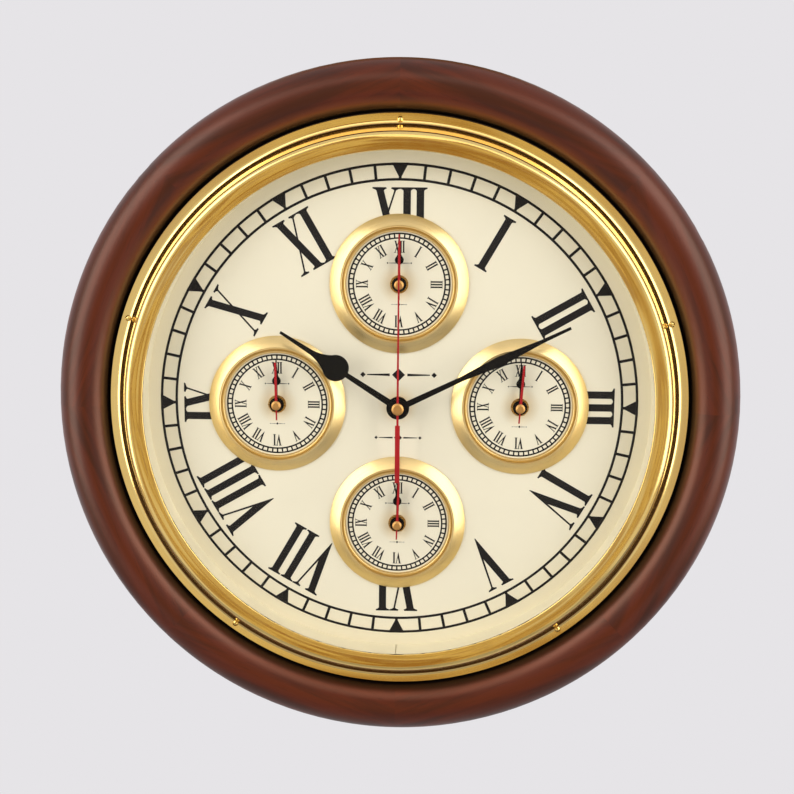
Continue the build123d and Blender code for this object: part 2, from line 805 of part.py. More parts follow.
def stator():
    """Laminated frame: a wide leg round the rotor and a narrow core through the coil."""
    middle = rotor_place[1] + stator_rise()
    left = rotor_place[0] - stator_leg_width / 2
    right = coil_x + core_width / 2
    frame = Pos((left + right) / 2, middle) * Rectangle(right - left, stator_height)
    window_left = rotor_place[0] + stator_leg_width / 2
    window_right = coil_x - core_width / 2
    window = Pos((window_left + window_right) / 2, middle) * Rectangle(
        window_right - window_left, stator_height - 2 * stator_arm)
    outline = frame - window - Pos(*rotor_place) * Circle(rotor_hole_radius)
    return Pos(0, 0, cover_face + magnet_level) * extrude(outline, amount=stator_sheet)


def motor_coil():
    """Wound bobbin on the stator's core."""
    length = stator_height - 2 * stator_arm - 2 * coil_gap
    end = length / 2 - coil_flange_thickness
    bobbin = disc(coil_radius, -end, end) + disc(coil_flange_radius, end, length / 2)
    bobbin += disc(coil_flange_radius, -length / 2, -end)
    bobbin -= Box(core_width + 2 * coil_gap, stator_sheet + 2 * coil_gap, length)
    middle = rotor_place[1] + stator_rise()
    return Pos(coil_x, middle, cover_face + magnet_level + stator_sheet / 2) * Rot(90, 0, 0) * bobbin


def circuit_corner():
    """Lower right corner of the circuit board, in the upper left of the case."""
    return (-case_inner + board_inset + board_size[0], case_inner - board_inset - board_size[1])


def circuit_posts():
    """Posts under the circuit board's upper edge."""
    right, bottom = circuit_corner()
    height = bottom + board_size[1] - 2 * post_radius
    return [(right - 2 * post_radius, height), (right - board_size[0] + 2 * post_radius, height)]


def circuit_board():
    """Small circuit board on two posts."""
    right, bottom = circuit_corner()
    level = cover_face + board_level
    return slab((right - board_size[0], bottom), (right, bottom + board_size[1]),
                level, level + board_sheet)


def crystal():
    """Quartz can lying on the circuit board."""
    right, bottom = circuit_corner()
    can = Rot(0, 90, 0) * disc(crystal_radius, -crystal_length / 2, crystal_length / 2)
    level = cover_face + board_level - crystal_radius - pilot
    return Pos(right - board_size[0] / 2, bottom + board_size[1] / 2, level) * can


# Hands, drawn upright and then turned clockwise
def tapered(root_width, end_width, length):
    """Straight blade from the arbor to a length."""
    return make_face(Polyline((-root_width / 2, 0), (root_width / 2, 0), (end_width / 2, length),
                              (-end_width / 2, length), close=True).edges())


def spade(length, hub, stem, bulb_at, bulb, tip):
    """Spade blade: hub, stem, round bulb and a hollow-sided point."""
    def along(ratio, side):
        return (side * ratio[0] * bulb, bulb_at + ratio[1] * bulb)
    point = make_face([
        ThreePointArc(along(spade_shoulder, 1), along(spade_waist, 1), along(spade_neck, 1)),
        *Polyline(along(spade_neck, 1), (tip / 2, length), (-tip / 2, length),
                  along(spade_neck, -1)).edges(),
        ThreePointArc(along(spade_neck, -1), along(spade_waist, -1), along(spade_shoulder, -1)),
        Line(along(spade_shoulder, -1), along(spade_shoulder, 1)),
    ])
    return Circle(hub) + tapered(*stem, bulb_at) + Pos(0, bulb_at) * Circle(bulb) + point


def leaf(length, hub, stem, stem_length, leaf_at, leaf_width, neck_at, tip):
    """Minute blade: hub, stem, long leaf and a narrow point."""
    side = [(stem[0] / 2, 0), (stem[1] / 2, stem_length), (leaf_width / 2, leaf_at),
            (tip * leaf_neck, neck_at), (tip / 2, length)]
    mirrored = [(-x, y) for x, y in reversed(side)]
    return Circle(hub) + make_face(Polyline(*side, *mirrored, close=True).edges())


def blade(outline, height, at=(0, 0), angle=0.0):
    """Stamp a blade from its outline at a height, turned clockwise."""
    return Pos(at[0], at[1], height) * Rot(0, 0, -angle) * extrude(outline, amount=blade_thickness)


def hour_hand():
    """Main hour hand, on a collet that is pushed onto the hour pipe."""
    outline = spade(hour_length, hour_hub_radius, hour_stem, hour_bulb_at, hour_bulb_radius, hour_tip)
    hand = blade(outline, hour_height, angle=hour_hand_angle)
    hand += disc(hour_collet_radius, hour_height - hour_collet_height, hour_height)
    return hand - disc(hour_pipe_radius + seated, hour_height - hour_collet_height,
                       hour_height + blade_thickness)


def minute_hand():
    """Main minute hand."""
    outline = leaf(minute_length, minute_hub_radius, minute_stem, minute_stem_length, minute_leaf_at,
                   minute_leaf_width, minute_neck_at, minute_tip)
    return blade(outline - Circle(minute_pipe_radius + seated), minute_height, angle=minute_hand_angle)


def second_hand():
    """Main second hand, with a bar for a tail."""
    tail = Pos(0, -(second_tail_stem + second_tail_length) / 2) * Rectangle(
        second_tail_width, second_tail_length - second_tail_stem)
    outline = (Circle(second_hub_radius) + tapered(*second_needle, second_length) + tail
               + Rot(0, 0, 180) * tapered(second_needle[0], second_needle[0], second_tail_stem))
    return blade(outline - Circle(second_arbor_radius + seated), second_height)


def bevelled_cap(base):
    """Turned brass cap with a broad bevel round its flat crown."""
    shoulder = base + cap_height - cap_bevel
    crown = Pos(0, 0, shoulder + cap_bevel / 2) * Cone(cap_radius, cap_flat_radius, cap_bevel)
    return disc(cap_radius, base, shoulder) + crown


def hand_cap():
    """Brass cap on the end of the second arbor."""
    return bevelled_cap(cap_base) - disc(second_arbor_radius + seated, cap_base, cap_base + cap_bore_depth)


def small_hour_hand(at):
    """Hour hand of a small dial, with its pipe."""
    outline = spade(small_hour_length, small_hour_hub_radius, small_hour_stem, small_hour_bulb_at,
                    small_hour_bulb_radius, small_hour_tip)
    bottom, top = case_front - pipe_step, small_hour_height + blade_thickness
    hand = blade(outline, small_hour_height) + disc(hour_pipe_radius, bottom, top)
    return Pos(at[0], at[1], 0) * (hand - disc(hour_pipe_bore, bottom, top))


def small_minute_hand(at):
    """Minute hand of a small dial, with its pipe."""
    outline = leaf(small_minute_length, small_minute_hub_radius, small_minute_stem,
                   small_minute_stem_length, small_minute_leaf_at, small_minute_leaf_width,
                   small_minute_neck_at, small_minute_tip)
    bottom, top = case_front - 2 * pipe_step, small_minute_height + blade_thickness
    hand = blade(outline, small_minute_height) + disc(minute_pipe_radius, bottom, top)
    return Pos(at[0], at[1], 0) * (hand - disc(minute_pipe_bore, bottom, top))


def small_second_hand(at, angle):
    """Second hand of a small dial, with its arbor and cap."""
    outline = (Circle(cap_radius) + tapered(*small_second_needle, small_second_length)
               + Rot(0, 0, 180) * tapered(small_second_tail_width, small_second_tail_width,
                                          small_second_tail))
    bottom = case_front - sealed_bore_depth + end_shake
    hand = (blade(outline, small_second_height, angle=angle)
            + disc(second_arbor_radius, bottom, small_second_height)
            + bevelled_cap(small_second_height + blade_thickness))
    return Pos(at[0], at[1], 0) * hand


os.makedirs("parts", exist_ok=True)
small_places = list(small_dials.values())
faces = {name: dial_front if name == "main" else small_face_front for name in all_dials}

save("wooden_ring", wooden_ring())
save("bezel", bezel())
save("bezel_screws", *bezel_screws())
save("glass", glass())
save("spacer_strip", spacer_strip())
save("dial_plate", dial_disc(board_front, dial_front))
save("dial_board", dial_disc(case_front, board_front))
save("board_screws", *board_screws())
save("subdial_faces", *[small_face(at) for at in small_places])
save("subdial_bezels", *[small_bezel(at) for at in small_places])
save("hanger_plate", hanger_plate())
save("hanger_screws", *[hanger_screw(at) for at in hanger_screw_places()])

save("main_case", main_case())
save("main_cover", main_cover())
save("bushing_washers", *[bushing_washer(all_dials[name], face) for name, face in faces.items()])
save("bushing_nuts", *[bushing_nut(all_dials[name], face) for name, face in faces.items()])
save("cell_contacts", *[contact for at in all_dials.values() for contact in cell_contacts(at)])
for name, at in all_dials.items():
    save(f"{name}_cell", cell(at))

save("motor_coil", motor_coil())
save("stator", stator())
save("circuit_board", circuit_board())
save("crystal", crystal())
save("rotor", rotor())
save("intermediate_wheel", intermediate_wheel())
save("second_wheel", second_wheel())
save("third_wheel", third_wheel())
save("centre_wheel", centre_wheel())
save("minute_pipe", minute_pipe())
save("setting_wheel", setting_wheel())
save("setting_knob", setting_knob() - disc(setting_arbor_radius + seated, knob_to_wall,
                                           knob_to_wall + knob_height, setting_place))
save("hour_wheel", hour_wheel())
save("hour_hand", hour_hand())
save("minute_hand", minute_hand())
save("second_hand", second_hand())
save("hand_cap", hand_cap())

for name, at in small_dials.items():
    save(f"{name}_movement", sealed_movement(at))
    save(f"{name}_setting_knob", small_setting_knob(at))
    save(f"{name}_hour_hand", small_hour_hand(at))
    save(f"{name}_minute_hand", small_minute_hand(at))
    save(f"{name}_second_hand", small_second_hand(at, small_second_angles[name]))
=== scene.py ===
import json
import math

import bmesh
import bpy
from bpy.props import FloatProperty, FloatVectorProperty, PointerProperty
from mathutils import Matrix, Vector
from mathutils.geometry import delaunay_2d_cdt


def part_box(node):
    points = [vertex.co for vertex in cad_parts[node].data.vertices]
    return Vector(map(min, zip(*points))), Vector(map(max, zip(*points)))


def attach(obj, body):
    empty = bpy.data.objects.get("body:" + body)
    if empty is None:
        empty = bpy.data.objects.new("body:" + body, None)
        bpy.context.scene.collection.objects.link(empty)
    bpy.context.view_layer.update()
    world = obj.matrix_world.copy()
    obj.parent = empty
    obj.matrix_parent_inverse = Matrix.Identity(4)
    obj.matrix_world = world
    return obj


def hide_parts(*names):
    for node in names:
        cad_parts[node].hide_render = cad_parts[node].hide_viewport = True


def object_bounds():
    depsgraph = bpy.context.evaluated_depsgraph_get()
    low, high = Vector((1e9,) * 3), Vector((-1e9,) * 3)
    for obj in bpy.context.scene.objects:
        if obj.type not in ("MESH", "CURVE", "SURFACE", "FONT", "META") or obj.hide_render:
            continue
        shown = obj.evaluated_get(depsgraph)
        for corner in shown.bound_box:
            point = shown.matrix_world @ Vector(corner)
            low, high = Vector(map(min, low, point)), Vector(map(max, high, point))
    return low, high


bl_info = {
    "name": "World Time Wall Clock",
    "version": (1, 0, 0),
    "blender": (4, 5, 0),
    "location": "View3D > Sidebar > Clock",
    "description": "Dresses the packed wall clock: print, screws, caps, marks, finishes and stage",
    "category": "Object",
}

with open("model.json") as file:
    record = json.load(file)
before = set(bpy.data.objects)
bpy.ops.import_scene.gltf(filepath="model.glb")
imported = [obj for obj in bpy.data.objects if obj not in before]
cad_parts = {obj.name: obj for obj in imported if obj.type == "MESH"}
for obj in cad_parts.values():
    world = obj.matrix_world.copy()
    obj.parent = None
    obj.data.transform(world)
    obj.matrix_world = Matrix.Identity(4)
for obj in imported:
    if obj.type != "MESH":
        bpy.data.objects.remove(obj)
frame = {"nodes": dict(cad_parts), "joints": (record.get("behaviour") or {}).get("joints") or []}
nodes = frame["nodes"]
cad_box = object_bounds()

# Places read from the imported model, in metres. The dial faces -Y.
SMALL = ("top", "right", "bottom", "left")
ARBOR = {joint["child"]: Vector(joint["pos_m"]) for joint in frame["joints"]}
SMALL_ARBORS = [ARBOR[f"{name}_minute"] for name in SMALL]
PREFIXES = ("", *(f"{name}_" for name in SMALL))
AXIS_Z = ARBOR["minute"].z
DIAL_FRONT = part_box("dial_plate")[0].y
SMALL_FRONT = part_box("subdial_faces")[0].y
INK_LIFT = 0.00003
INK_FILM = 0.00006
MILLI = 1000
FLOOR_RADIUS = 2.2
BEZEL_SCREW_HEAD = 0.0018


def srgb(red, green, blue):
    """Linear colour from the 0 to 255 values that a screen shows."""
    def linear(value):
        value /= 255
        return value / 12.92 if value <= 0.04045 else ((value + 0.055) / 1.055) ** 2.4
    return (linear(red), linear(green), linear(blue))


def number(name, default, description, **limits):
    """Number property."""
    return FloatProperty(name=name, default=default, description=description, **limits)


def length(name, default, description):
    """Length property in metres."""
    return number(name, default, description, min=0, unit="LENGTH", precision=5)


def rotation(name, degrees, description):
    """Angle property, from degrees."""
    return number(name, math.radians(degrees), description, unit="ROTATION")


def wattage(name, watts, description):
    """Power property of a light."""
    return number(name, watts, description, min=0, unit="POWER")


def colour(name, default, description):
    """Colour property."""
    return FloatVectorProperty(name=name, default=default, size=3, min=0, max=1, subtype="COLOR",
                               description=description)


class ClockPrintSettings(bpy.types.PropertyGroup):
    """Sizes of the dial's print."""
    track_outer: length("Track outer radius", 0.1431, "Outer line of the minute track")
    track_inner: length("Track inner radius", 0.1342, "Inner line of the minute track")
    track_line: length("Track line", 0.0015, "Width of the track's two lines")
    track_tick: length("Track tick", 0.0017, "Width of a minute tick")
    hour_mark_base: length("Hour mark base", 0.0101, "Base of the black triangle at each hour")
    hour_mark_height: length("Hour mark height", 0.0096, "Height of the black triangle at each hour")
    numeral_outer: length("Numeral outer radius", 0.1296, "Radius at the head of the numerals")
    numeral_height: length("Numeral height", 0.0344, "Height of the numerals")
    small_track_outer: length("Small track outer radius", 0.0299, "Outer line of a small dial's track")
    small_track_inner: length("Small track inner radius", 0.0272, "Inner line of a small dial's track")
    small_track_line: length("Small track line", 0.00090, "Width of the small track's two lines")
    small_track_tick: length("Small track tick", 0.00085, "Width of a small minute tick")
    small_numeral_outer: length("Small numeral radius", 0.0256, "Radius at the head of a small numeral")
    small_numeral_height: length("Small numeral height", 0.0070, "Height of the small numerals")
    ornament_width: length("Ornament width", 0.0460, "Width of the printed ornament over the hands' arbor")
    small_ornament_width: length("Small ornament width", 0.0150, "Width of the ornament of a small dial")


class ClockFinishSettings(bpy.types.PropertyGroup):
    """Colours of the clock's finishes."""
    mahogany: colour("Mahogany", srgb(82, 27, 7), "Stained wood, between its streaks")
    mahogany_streak: colour("Mahogany streak", srgb(54, 16, 4), "Dark streaks of the wood")
    raw_wood: colour("Raw wood", srgb(160, 114, 74), "Unfinished back of the ring")
    brass: colour("Polished brass", (0.88, 0.63, 0.20), "Bezel and its screws")
    satin_brass: colour("Satin brass", (0.80, 0.61, 0.27), "Rings of the small dials")
    bronze: colour("Bronze", (0.50, 0.31, 0.10), "Nuts and washers under the hands")
    cap_gold: colour("Cap gold", (0.54, 0.30, 0.10), "Caps on the second hands")
    cream: colour("Dial cream", srgb(240, 231, 204), "Enamel of the dials")
    strip_cream: colour("Strip cream", srgb(243, 233, 202), "Strip between dial and glass")
    ink: colour("Ink", srgb(22, 20, 20), "Print of the dials")
    black: colour("Black enamel", srgb(14, 13, 13), "Hour and minute hands")
    red: colour("Red enamel", srgb(172, 31, 36), "Second hands")
    board: colour("Fibreboard", srgb(142, 104, 70), "Board behind the dial")
    plastic: colour("Movement plastic", srgb(34, 34, 36), "Cases of the movements")
    knob: colour("Knob plastic", srgb(48, 48, 50), "Setting knobs")
    wheel: colour("Wheel plastic", srgb(226, 222, 210), "Wheels of the main movement")
    steel: colour("Plated steel", (0.58, 0.58, 0.57), "Hanger, contacts and rear screws")
    copper: colour("Copper", (0.72, 0.30, 0.13), "Winding of the motor")
    circuit: colour("Circuit board", srgb(38, 96, 58), "Solder mask")
    sleeve: colour("Cell sleeve", srgb(52, 54, 60), "Body of the cells")
    sleeve_band: colour("Cell band", srgb(196, 140, 74), "Band at the cells' button")


class ClockStageSettings(bpy.types.PropertyGroup):
    """Camera, lights and background."""
    camera_place: FloatVectorProperty(name="Camera", default=(0.02083, -0.78175, -0.0460), size=3,
                                      unit="LENGTH", description="Where the camera stands")
    camera_yaw: rotation("Yaw", -1.6415, "Turn of the camera to the right")
    camera_pitch: rotation("Pitch", 9.9795, "Tilt of the camera downwards")
    camera_roll: rotation("Roll", 0.482, "Roll of the camera")
    camera_lens: number("Lens", 57.735, "Focal length in mm", unit="CAMERA")
    background: colour("Background", srgb(230, 228, 231), "Plain backdrop")
    ambient: number("Ambient", 0.26, "Soft light from all round", min=0)
    room: colour("Room", srgb(224, 204, 154), "Room in front of the clock, as metal and lacquer reflect it")
    room_shadow: colour("Room shadow", srgb(150, 106, 46), "Dark places of that room")
    side_power: wattage("Side lights", 13.2, "Tall soft lights at the left and right")
    front_power: wattage("Front light", 7.0, "Large soft light in front and above")
    rear_power: wattage("Rear light", 24.0, "Soft light on the clock's back")


# Meshes
def link(name, mesh):
    """Put a mesh into the scene as an object at the origin."""
    piece = bpy.data.objects.new(name, mesh)
    bpy.context.scene.collection.objects.link(piece)
    return piece


def from_bmesh(name, bm):
    """Object from a bmesh, its faces pointing outwards."""
    bmesh.ops.recalc_face_normals(bm, faces=bm.faces)
    mesh = bpy.data.meshes.new(name)
    bm.to_mesh(mesh)
    bm.free()
    return link(name, mesh)


def on_dial(point, centre, height):
    """Place of a point of a dial's plane, given right and up from the dial's centre."""
    return Vector((centre.x + point[0], height, centre.z + point[1]))


def add_prism(bm, outline, centre, near, far):
    """Closed prism of a flat outline, between two heights along Y."""
    front = [bm.verts.new(on_dial(point, centre, near)) for point in outline]
    back = [bm.verts.new(on_dial(point, centre, far)) for point in outline]
    bm.faces.new(front)
    bm.faces.new(back[::-1])
    for i in range(len(outline)):
        j = (i + 1) % len(outline)
        bm.faces.new((front[j], front[i], back[i], back[j]))


def ink_film(name, shapes, surface):
    """Closed ink film over a printed surface: the union of flat shapes, given as (outline, centre)."""
    points, loops = [], []
    for outline, centre in shapes:
        loop = list(range(len(points), len(points) + len(outline)))
        around = sum(a[0] * b[1] - b[0] * a[1] for a, b in zip(outline, outline[1:] + outline[:1]))
        loops.append(loop if around > 0 else loop[::-1])
        points += [Vector((centre.x + x, centre.z + y)) * MILLI for x, y in outline]
    flat, _, faces, _, _, sources = delaunay_2d_cdt(points, [], loops, 0, 1e-4)
    faces = [face for face, source in zip(faces, sources) if source]
    bm = bmesh.new()
    near, far = ([bm.verts.new((point.x / MILLI, height, point.y / MILLI)) for point in flat]
                 for height in (surface - INK_LIFT - INK_FILM, surface - INK_LIFT))
    ways = {(i, j) for face in faces for i, j in zip(face, face[1:] + face[:1])}
    for face in faces:
        bm.faces.new([near[i] for i in face])
        bm.faces.new([far[i] for i in reversed(face)])
    for i, j in ways:
        if (j, i) not in ways:
            bm.faces.new((near[j], near[i], far[i], far[j]))
    bmesh.ops.delete(bm, geom=[vert for vert in bm.verts if not vert.link_faces], context="VERTS")
    return from_bmesh(name, bm)


def bow(start, end, bulge, steps=12):
    """Points of an arc from start to end, which stands off its chord to the left of its way."""
    start, end = Vector(start), Vector(end)
    chord = end - start
    radius = (chord.length ** 2 / 4 + bulge ** 2) / (2 * bulge)
    left = Vector((-chord.y, chord.x)).normalized()
    centre = (start + end) / 2 + left * (bulge - radius)
    turn = 2 * math.asin(chord.length / 2 / radius)
    return [tuple(centre + Matrix.Rotation(-turn * i / steps, 2) @ (start - centre))
            for i in range(steps + 1)]


def turned_piece(name, profile, centres, segments):
    """Piece of one profile, turned about each of some centres."""
    bm = bmesh.new()
    for centre in centres:
        lathe(bm, profile, Vector((centre.x, 0, centre.z)), segments)
    return from_bmesh(name, bm)


def lathe(bm, profile, centre, segments):
    """Turn a profile of (radius, forward) about a centre, closed at its poles or at its first point."""
    rings = []
    for radius, forward in profile:
        if rings and (radius, forward) == profile[0]:
            rings.append(rings[0])
        elif radius == 0:
            rings.append([bm.verts.new(centre + Vector((0, -forward, 0)))])
        else:
            turns = (2 * math.pi * i / segments for i in range(segments))
            spots = (Vector((radius * math.cos(a), -forward, radius * math.sin(a))) for a in turns)
            rings.append([bm.verts.new(centre + spot) for spot in spots])
    for inner, outer in zip(rings, rings[1:]):
        for i in range(segments):
            j = (i + 1) % segments
            corners = [ring[k % len(ring)] for ring, k in ((inner, i), (inner, j), (outer, j), (outer, i))]
            bm.faces.new(list(dict.fromkeys(corners)))


def smooth(piece, angle=math.radians(35)):
    """Shade a piece smooth, with its edges sharp past an angle."""
    piece.data.polygons.foreach_set("use_smooth", [True] * len(piece.data.polygons))
    bm = bmesh.new()
    bm.from_mesh(piece.data)
    for edge in bm.edges:
        edge.smooth = not (edge.is_manifold and edge.calc_face_angle(0) > angle)
    bm.to_mesh(piece.data)
    bm.free()


def plain_mesh(piece):
    """Turn a piece's modifiers into plain mesh and remove them."""
    bpy.context.view_layer.update()
    evaluated = piece.evaluated_get(bpy.context.evaluated_depsgraph_get())
    mesh = bpy.data.meshes.new_from_object(evaluated)
    piece.modifiers.clear()
    piece.data = mesh
    return piece


def carve(piece, cutters):
    """Cut pieces out of another, and remove them."""
    for cutter in cutters:
        cut = piece.modifiers.new("cut", "BOOLEAN")
        cut.operation, cut.solver, cut.object = "DIFFERENCE", "EXACT", cutter
    plain_mesh(piece)
    for cutter in cutters:
        bpy.data.objects.remove(cutter)


def joined(name, pieces):
    """One object from several, which are removed."""
    bm = bmesh.new()
    for piece in pieces:
        bm.from_mesh(piece.data)
    for piece in pieces:
        bpy.data.objects.remove(piece)
    mesh = bpy.data.meshes.new(name)
    bm.to_mesh(mesh)
    bm.free()
    return link(name, mesh)


def finish(piece, material, body, replaced=()):
    """Give a piece its material, its body and the nodes that it stands for."""
    piece.data.materials.clear()
    piece.data.materials.append(material)
    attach(piece, body)
    if replaced:
        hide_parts(*replaced)
    return piece


def dress(names, material):
    """Assign a material to CAD nodes."""
    for name in names:
        for slot in nodes[name].material_slots:
            slot.material = material


# Node trees
class Nodes:
    """A node tree, built from its sockets."""

    def __init__(self, tree, output):
        self.tree = tree
        tree.nodes.clear()
        self.output = self.add(output)

    def add(self, kind, settings=None, **sockets):
        """New node, with its settings and its sockets fed, named with underscores for spaces."""
        node = self.tree.nodes.new(kind)
        for key, value in (settings or {}).items():
            setattr(node, key, value)
        for key, value in sockets.items():
            self.feed(node.inputs[key.replace("_", " ")], value)
        return node

    def feed(self, socket, value):
        """Link an output to a socket, or set the socket's value."""
        if isinstance(value, bpy.types.NodeSocket):
            self.tree.links.new(value, socket)
        elif socket.type == "RGBA":
            socket.default_value = (*value, 1)
        else:
            socket.default_value = value

    def row(self, kind, values, settings=None):
        """New node with its first sockets fed in order."""
        node = self.add(kind, settings)
        for socket, value in zip(node.inputs, values):
            self.feed(socket, value)
        return node

    def math(self, operation, *values):
        """Result of a Math node."""
        return self.row("ShaderNodeMath", values, {"operation": operation}).outputs[0]

    def parts(self, vector):
        """X, Y and Z of a vector."""
        return self.add("ShaderNodeSeparateXYZ", Vector=vector).outputs

    def vector(self, x=0.0, y=0.0, z=0.0):
        """Vector from three values."""
        return self.add("ShaderNodeCombineXYZ", X=x, Y=y, Z=z).outputs[0]

    def noise(self, vector, scale, detail=3.0, roughness=0.55):
        """Value of a Noise texture."""
        node = self.add("ShaderNodeTexNoise", Vector=vector, Scale=scale, Detail=detail, Roughness=roughness)
        return node.outputs["Fac"]

    def between(self, value, low, high, to_low=0.0, to_high=1.0):
        """Map a value from one range to another, kept inside it."""
        return self.row("ShaderNodeMapRange", (value, low, high, to_low, to_high)).outputs[0]

    def mix(self, share, first, second):
        """Mix of two colours."""
        node = self.add("ShaderNodeMix", {"data_type": "RGBA"})
        for index, value in ((0, share), (6, first), (7, second)):
            self.feed(node.inputs[index], value)
        return node.outputs[2]

    def blend(self, share, first, second):
        """Make a mix of two shaders the surface."""
        node = self.row("ShaderNodeMixShader", (share, first.outputs[0], second.outputs[0]))
        self.feed(self.output.inputs["Surface"], node.outputs[0])


# Materials
class Finish(Nodes):
    """A node material, built from its coordinates to its surface."""

    def __init__(self, name):
        self.material = bpy.data.materials.new(name)
        self.material.use_nodes = True
        super().__init__(self.material.node_tree, "ShaderNodeOutputMaterial")
        self.surface = self.add("ShaderNodeBsdfPrincipled")
        self.feed(self.output.inputs["Surface"], self.surface.outputs[0])
        self.place = self.add("ShaderNodeTexCoord").outputs["Object"]

    def set(self, **values):
        """Feed sockets of the surface, named with underscores for spaces."""
        for key, value in values.items():
            name = "Specular IOR Level" if key == "Specular" else key.replace("_", " ")
            self.feed(self.surface.inputs[name], value)

    def moved(self, centre=(0, 0, 0), scale=(1, 1, 1), source=None):
        """Object place, or another, counted from a centre and then scaled."""
        away = [-c * s for c, s in zip(centre, scale)]
        node = self.add("ShaderNodeMapping", Vector=source or self.place, Location=away, Scale=scale)
        return node.outputs[0]

    def span(self, vector):
        """Length of a vector."""
        return self.row("ShaderNodeVectorMath", (vector,), {"operation": "LENGTH"}).outputs["Value"]

    def radius(self, centre):
        """Distance from a line along Y through a centre."""
        return self.span(self.moved(centre, (1, 0, 1)))

    def turned(self, distance, lines):
        """Fine lines of turning, by the distance from their axis."""
        return self.noise(self.vector(distance, self.parts(self.place)[1]), lines, 2.0, 0.6)

    def stained(self, base, factor, value, low, high, share=1.0):
        """Colour that goes some way to a lighter or darker shade of itself as a value rises."""
        return self.mix(self.between(value, low, high, 0.0, share), base, shade(base, factor))

    def grained(self, tone, texture, rough, relief, **values):
        """Material of a tone, its roughness between two values by a texture, and its relief from it."""
        self.set(Base_Color=tone, Roughness=self.between(texture, 0.3, 0.7, *rough), **values)
        self.bump(texture, *relief)
        return self.material

    def bump(self, height, distance, strength=1.0):
        """Normal from a height, in metres at strength 1."""
        node = self.add("ShaderNodeBump", Height=height, Distance=distance, Strength=strength)
        self.set(Normal=node.outputs[0])


def shade(base, factor):
    """Colour made lighter or darker."""
    return tuple(min(1.0, channel * factor) for channel in base)


def mahogany(settings):
    """Stained and lacquered wood in eight segments, black in the groove by the bezel and partly painted shade
    there, with a painted reflection of the brass beside it, raw at the back.
    """
    segment = math.pi / 4
    groove, painted_reflection_from, painted_reflection_to = (0.1745, 0.1776), (0.1755, 0.1772), (0.1785, 0.1815)
    back_face, recess_wall, recess_depth = (-0.0012, -0.0004), (0.1669, 0.1672), (-0.030, -0.0265)
    wood = Finish("mahogany")
    centre = (0, 0, AXIS_Z)
    x, y, z = wood.parts(wood.moved(centre))
    angle = wood.math("ARCTAN2", z, x)
    sector = wood.math("FLOOR", wood.math("DIVIDE", angle, segment))
    bend = wood.math("SUBTRACT", angle, wood.math("MULTIPLY", wood.math("ADD", sector, 0.5), segment))
    distance = wood.radius(centre)
    across = wood.math("MULTIPLY", distance, wood.math("COSINE", bend))
    along = wood.math("ADD", wood.math("MULTIPLY", distance, wood.math("SINE", bend)), sector)
    grain = wood.vector(along, y, across)
    broad = wood.noise(wood.moved(scale=(9.0, 140.0, 140.0), source=grain), 1.0, 4.0, 0.5)
    pores = wood.noise(wood.moved(scale=(60.0, 1500.0, 1500.0), source=grain), 1.0, 2.0, 0.5)
    tone = wood.mix(wood.between(broad, 0.40, 0.64), settings.mahogany, settings.mahogany_streak)
    tone = wood.mix(wood.between(pores, 0.60, 0.72, 0.0, 0.45), tone, shade(settings.mahogany_streak, 0.5))
    # Painted reflection of the brass bezel: an orange-brown tint on the wood just outside the groove.
    painted_reflection = wood.math("MULTIPLY", wood.between(distance, *painted_reflection_from, 0.0, 0.25),
                     wood.between(distance, *painted_reflection_to, 1.0, 0.0))
    tone = wood.mix(painted_reflection, tone, srgb(134, 70, 32))
    # Black by the bezel: a dark-stained groove, and painted shade from the bezel over the wood's inner slope.
    tone = wood.mix(wood.between(distance, *groove, 1.0, 0.0), tone, srgb(10, 6, 5))
    raw = wood.stained(settings.raw_wood, 0.6, broad, 0.3, 0.7)
    recess = wood.math("MULTIPLY", wood.between(distance, *recess_wall, 1.0, 0.0),
                       wood.between(y, *recess_depth))
    bare = wood.math("MAXIMUM", wood.between(y, *back_face), recess)
    wood.set(Base_Color=wood.mix(bare, tone, raw), Roughness=wood.between(bare, 0, 1, 0.34, 0.75),
             Specular=0.60, Specular_Tint=(1.0, 0.66, 0.54))
    wood.bump(wood.math("ADD", wood.math("MULTIPLY", broad, 0.6), pores), 0.00004, 0.35)
    return wood.material


def spun_brass(name, base, roughness, lines, centre=(0, 0, AXIS_Z), wave=0.0, coat=1.0):
    """Lacquered brass with fine turning lines round a centre, a faint tarnish and the waves of spinning."""
    wave_edge = (0.1580, 0.1605)
    brass = Finish(name)
    distance = brass.radius(centre)
    turning = brass.turned(distance, lines)
    cloud = brass.noise(brass.place, 55.0, 4.0, 0.6)
    tone = brass.stained(base, 0.72, cloud, 0.50, 0.78, 0.35)
    tone = brass.mix(brass.between(turning, 0.35, 0.65, 0.0, 0.14), tone, shade(base, 0.70))
    rough = brass.math("ADD", brass.between(turning, 0.3, 0.7, roughness * 0.75, roughness * 1.25),
                       brass.between(cloud, 0.5, 0.8, 0.0, 0.06))
    brass.set(Base_Color=tone, Metallic=1.0, Roughness=rough, Coat_Weight=coat, Coat_Roughness=0.06)
    outward = brass.row("ShaderNodeVectorMath", (brass.moved(centre, (1, 0, 1)),), {"operation": "NORMALIZE"})
    x, _, z = brass.parts(outward.outputs[0])
    streak = brass.noise(brass.moved(scale=(1.7, 190.0, 1.7), source=brass.vector(x, distance, z)), 1.0, 1.0)
    broad = brass.math("MULTIPLY", streak, brass.between(distance, *wave_edge, wave, 0.0))
    brass.bump(brass.math("ADD", brass.math("MULTIPLY", turning, 0.012), broad), 0.0001)
    return brass.material


